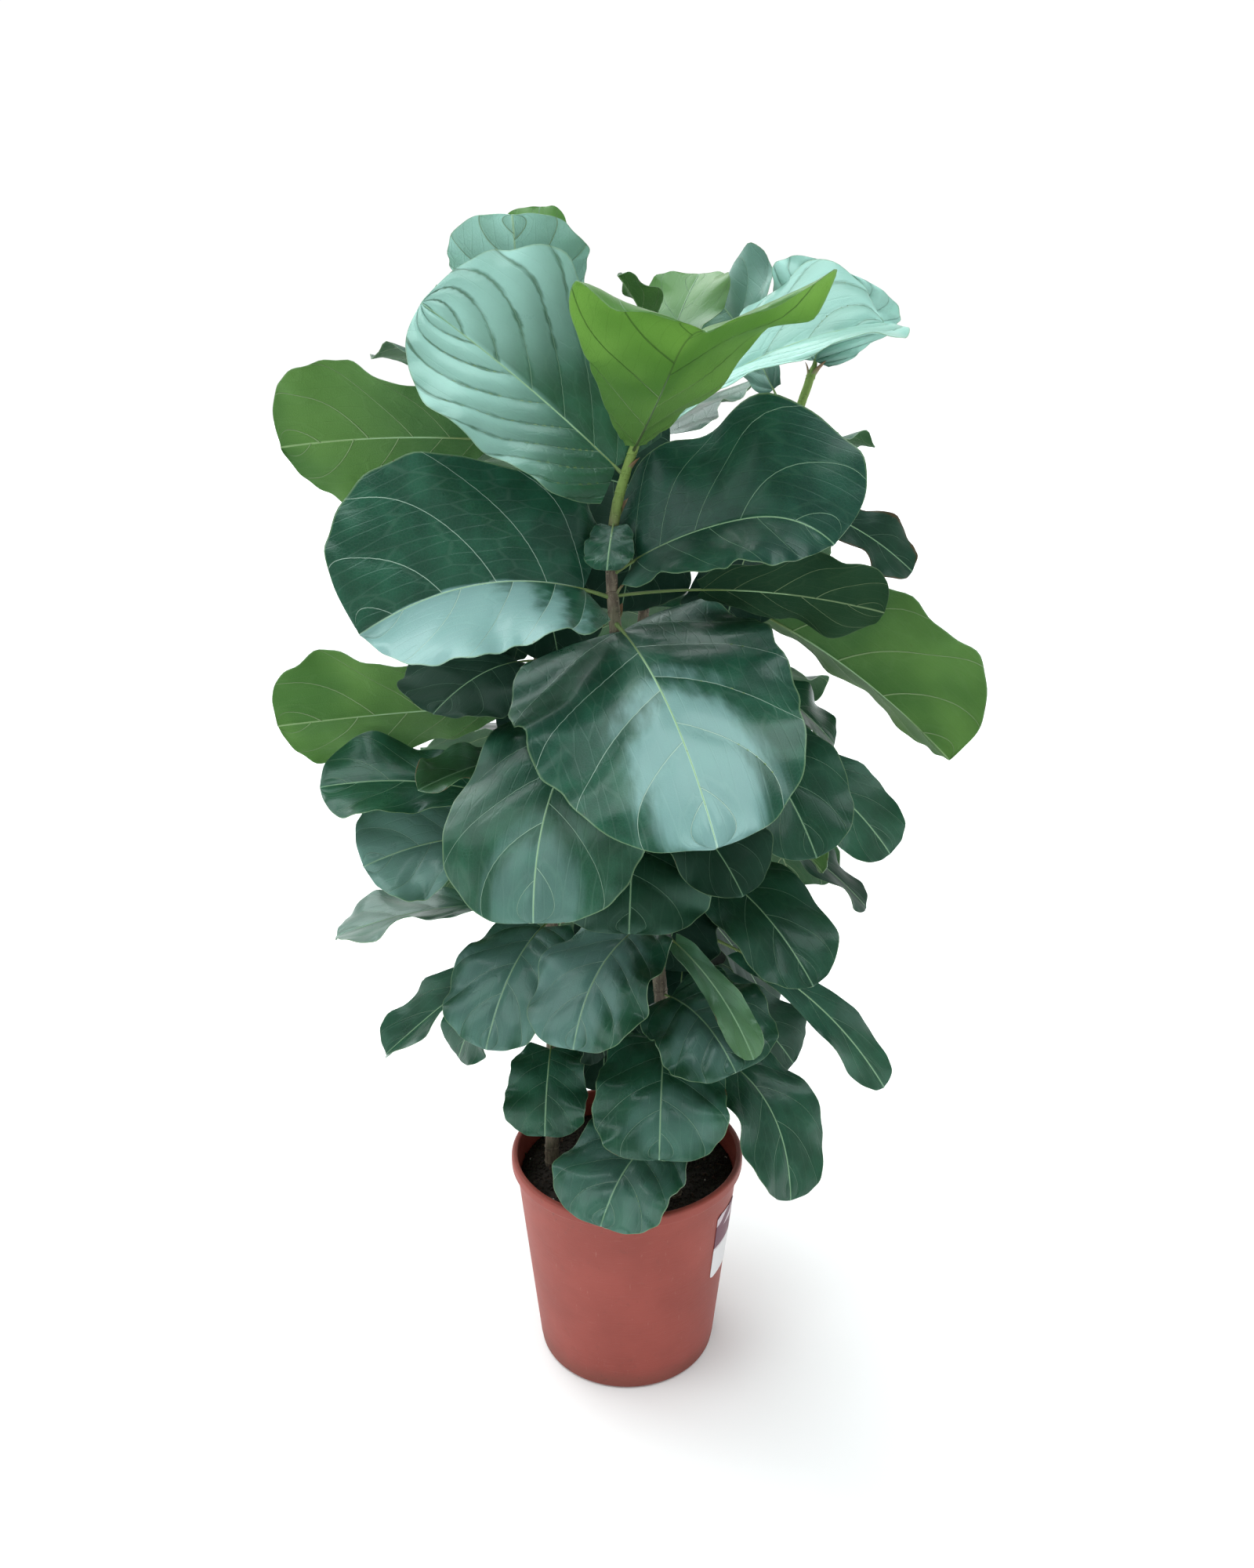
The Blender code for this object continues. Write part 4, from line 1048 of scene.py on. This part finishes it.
def build_pot():
    """The pot's turned wall, rolled rim and floor, less the drain holes."""
    under = POT_H - RIM_TALL
    inner = wall_radius(POT_H) - POT_WALL
    profile = [(0.0, 0.0), (POT_BASE_R - 0.004, 0.0)]
    profile += arc((POT_BASE_R - 0.004, 0.004), 0.004, -90, 0, 6)
    profile += [(wall_radius(z), z) for z in np.linspace(0.01, under - 0.003, 14)]
    profile += arc((wall_radius(under) + 0.001, under - 0.0005), 0.0006, 150, 90, 3)
    profile += arc((POT_RIM_R - 0.0024, under + 0.0024), 0.0024, -80, 0, 6)
    profile += arc((POT_RIM_R - 0.003, POT_H - 0.003), 0.003, 0, 90, 7)
    profile += arc((inner + 0.0016, POT_H - 0.0016), 0.0016, 90, 180, 5)
    profile += [(inner - 0.0001, POT_H - 0.006)]
    floor_r = POT_BASE_R - POT_WALL
    profile += [(floor_r, POT_FLOOR + 0.003), (floor_r - 0.003, POT_FLOOR), (0.0, POT_FLOOR)]
    blank = placed("pot_blank", lathe_mesh(profile, POT_SIDES))
    group = bpy.data.collections.new("drains")
    bpy.context.scene.collection.children.link(group)
    low, high = -0.002, POT_FLOOR + 0.002
    rod = [(0.0, low), (DRAIN_R, low), (DRAIN_R, high), (0.0, high)]
    for k in range(DRAIN_COUNT):
        turn = 2 * pi * (k + 0.5) / DRAIN_COUNT
        drain = lathe_mesh(rod, DRAIN_SIDES)
        drain.transform(Matrix.Translation(around(DRAIN_RING_R, turn)))
        group.objects.link(bpy.data.objects.new("drain", drain))
    cut = blank.modifiers.new("drains", "BOOLEAN")
    cut.operation = "DIFFERENCE"
    cut.operand_type = "COLLECTION"
    cut.collection = group
    cut.solver = "MANIFOLD"
    pot = frozen(blank, "pot_shell")
    bpy.data.batch_remove([*group.objects, group])
    dress(pot.data, WALL_SOFT, POT_PLASTIC)
    return pot


def soil_swell(radius, height, turn):
    """The soil's top is uneven and sinks a little at the wall."""
    if height < SOIL_TOP - 0.004:
        return radius, height
    x, y, _ = around(radius, turn)
    swell = 0.0016 * sin(70 * x + 1.0) * cos(55 * y) + 0.001 * sin(160 * x - 120 * y)
    edge = max(0.0, radius / soil_high.x - 0.9) * 10
    return radius, height + swell * (1 - edge) - 0.002 * edge


def soil_shaping():
    """Crumbs, bark chips and a few pale grains strewn over the top of the soil."""
    sizes = {"Crumbs": 70000.0, "Chips": 3500.0, "Grains": 900.0, "Largest": 0.0026, "Seed": 11}
    g = Shaping("soil", sizes)
    high = g.apart(g.geo("InputPosition"))[2].math("GREATER_THAN", SOIL_TOP - 0.005)
    here = high * g.apart(g.geo("InputNormal"))[2].math("GREATER_THAN", 0.5)
    ball = g.geo("MeshIcoSphere", Radius=1.0, Subdivisions=1)
    block = g.geo("MeshCube", Size=(1.0, 0.45, 0.22))
    layers = [g.geo("SetMaterial", Geometry=g.given, Material=SOIL)]
    kinds = (("Crumbs", ball, 0.3, 1.0, SOIL, 0), ("Chips", block, 1.4, 3.6, CHIPS, 20),
             ("Grains", ball, 0.4, 0.85, PERLITE, 40))
    for key, form, least, most, material, shift in kinds:
        seed = g.size("Seed") + shift
        spots = g.geo("DistributePointsOnFaces", Mesh=g.given, Selection=here, Density=g.size(key),
                      Seed=seed)
        wide = g.between(least, most, seed + 1) * g.size("Largest")
        long = wide * g.between(0.6, 1.0, seed + 2)
        flat = wide * g.between(0.5, 0.9, seed + 3)
        turns = g.add("FunctionNodeRandomValue", Min=(0.0, 0.0, 0.0), Max=(6.28, 6.28, 6.28),
                      Seed=seed + 4, data_type="FLOAT_VECTOR")
        strewn = g.geo("InstanceOnPoints", Points=spots, Instance=form, Rotation=turns,
                       Scale=g.joined(wide, long, flat))
        loose = g.geo("RealizeInstances", Geometry=strewn)
        layers.append(g.geo("SetMaterial", Geometry=loose, Material=material))
    g.add("NodeGroupOutput", Geometry=g.joined_up(*layers))
    return g


def build_soil():
    """The soil's body and what is strewn over it."""
    bottom = soil_low.z
    radius = soil_high.x
    low_r = POT_BASE_R - POT_WALL - 0.003
    profile = [(0.0, bottom), (low_r, bottom), (low_r + 0.001, bottom + 0.004),
               (radius - 0.0006, SOIL_TOP - 0.006)]
    profile += [(r, SOIL_TOP) for r in np.linspace(radius, 0.003, 30)] + [(0.0, SOIL_TOP)]
    mesh = lathe_mesh(profile, SOIL_SIDES, soil_swell)
    mesh.shade_smooth()
    return soil_shaping().run(placed("soil_ball", mesh), "soil_ball")


def build_label():
    """Thin film on the pot's wall, with rounded corners."""
    rows, cols = LABEL_GRID
    bottom, top = label_low.z, label_high.z
    points = []
    for side in (0, 1):
        for i in range(rows + 1):
            z = bottom + (top - bottom) * i / rows
            near_end = max(0.0, LABEL_CORNER - min(z - bottom, top - z))
            inset = LABEL_CORNER - sqrt(max(LABEL_CORNER ** 2 - near_end ** 2, 0))
            radius = wall_radius(z) + GAP + side * LABEL_THICK
            half = radians(LABEL_HALF_TURN) - inset / radius
            for j in range(cols + 1):
                points.append(around(radius, radians(LABEL_TURN) + half * (2 * j / cols - 1), z))
    mesh = new_mesh("label", points, sheet_faces(rows + 1, cols + 1))
    dress(mesh, WALL_SOFT, LABEL_FILM)
    return placed("label", mesh)


settle(build_pot(), "pot")
settle(build_soil(), "soil")
settle(build_label(), "pot_label")


# camera, floor and light

def aimed(name, data, place, at=(0.0, 0.0, 0.0)):
    obj = placed(name, data)
    obj.location = place
    obj.rotation_euler = (Vector(at) - Vector(place)).to_track_quat("-Z", "Y").to_euler()
    return obj


camera = bpy.data.cameras.new("camera")
camera.lens = LENS
camera.clip_end = 200.0
look_down = radians(LOOK_DOWN)
ahead = Vector((0.0, cos(look_down), -sin(look_down)))
bpy.context.scene.camera = aimed("camera", camera, EYE, Vector(EYE) + ahead)

corners = ((-1, -1), (1, -1), (1, 1), (-1, 1))
corners = [(x * FLOOR_HALF, y * FLOOR_HALF, -FLOOR_DROP) for x, y in corners]
floor_mesh = new_mesh("floor", corners, [(0, 1, 2, 3)])
floor_mesh.materials.append(floor_finish())
placed("floor", floor_mesh)


def studio_sky():
    """Bright low down behind the plant, softer all round it, and dim above, where the lamps are."""
    sky = bpy.data.worlds.new("studio")
    sky.use_nodes = True
    g = Graph(sky.node_tree)
    sky.node_tree.nodes.clear()
    _, behind, up = g.apart(g.add("ShaderNodeTexCoord"))
    tone = g.mix((0.5, 0.52, 0.52), (1.03, 1.03, 1.03), g.fade(behind, 0.1, 0.6))
    tone = g.mix(tone, (0.14, 0.17, 0.18), g.fade(up, 0.42, 0.72))
    glow = g.add("ShaderNodeBackground", Color=tone, Strength=1.0)
    g.add("ShaderNodeOutputWorld", Surface=glow)
    bpy.context.scene.world = sky


def broad_light(name, place, power, spread):
    """A far lamp as wide as a softbox: even over the whole floor."""
    lamp = bpy.data.lights.new(name, "SUN")
    lamp.energy = power
    lamp.angle = radians(spread)
    lamp.color = DAYLIGHT
    aimed(name, lamp, place)


studio_sky()
broad_light("overhead", (0.15, -0.35, 2.4), 2.1, 50.0)
broad_light("behind left", (-0.8, 1.0, 1.6), 2.2, 50.0)
broad_light("left", (-1.6, -0.5, 1.6), 0.7, 40.0)
bpy.context.scene.view_settings.view_transform = "Standard"
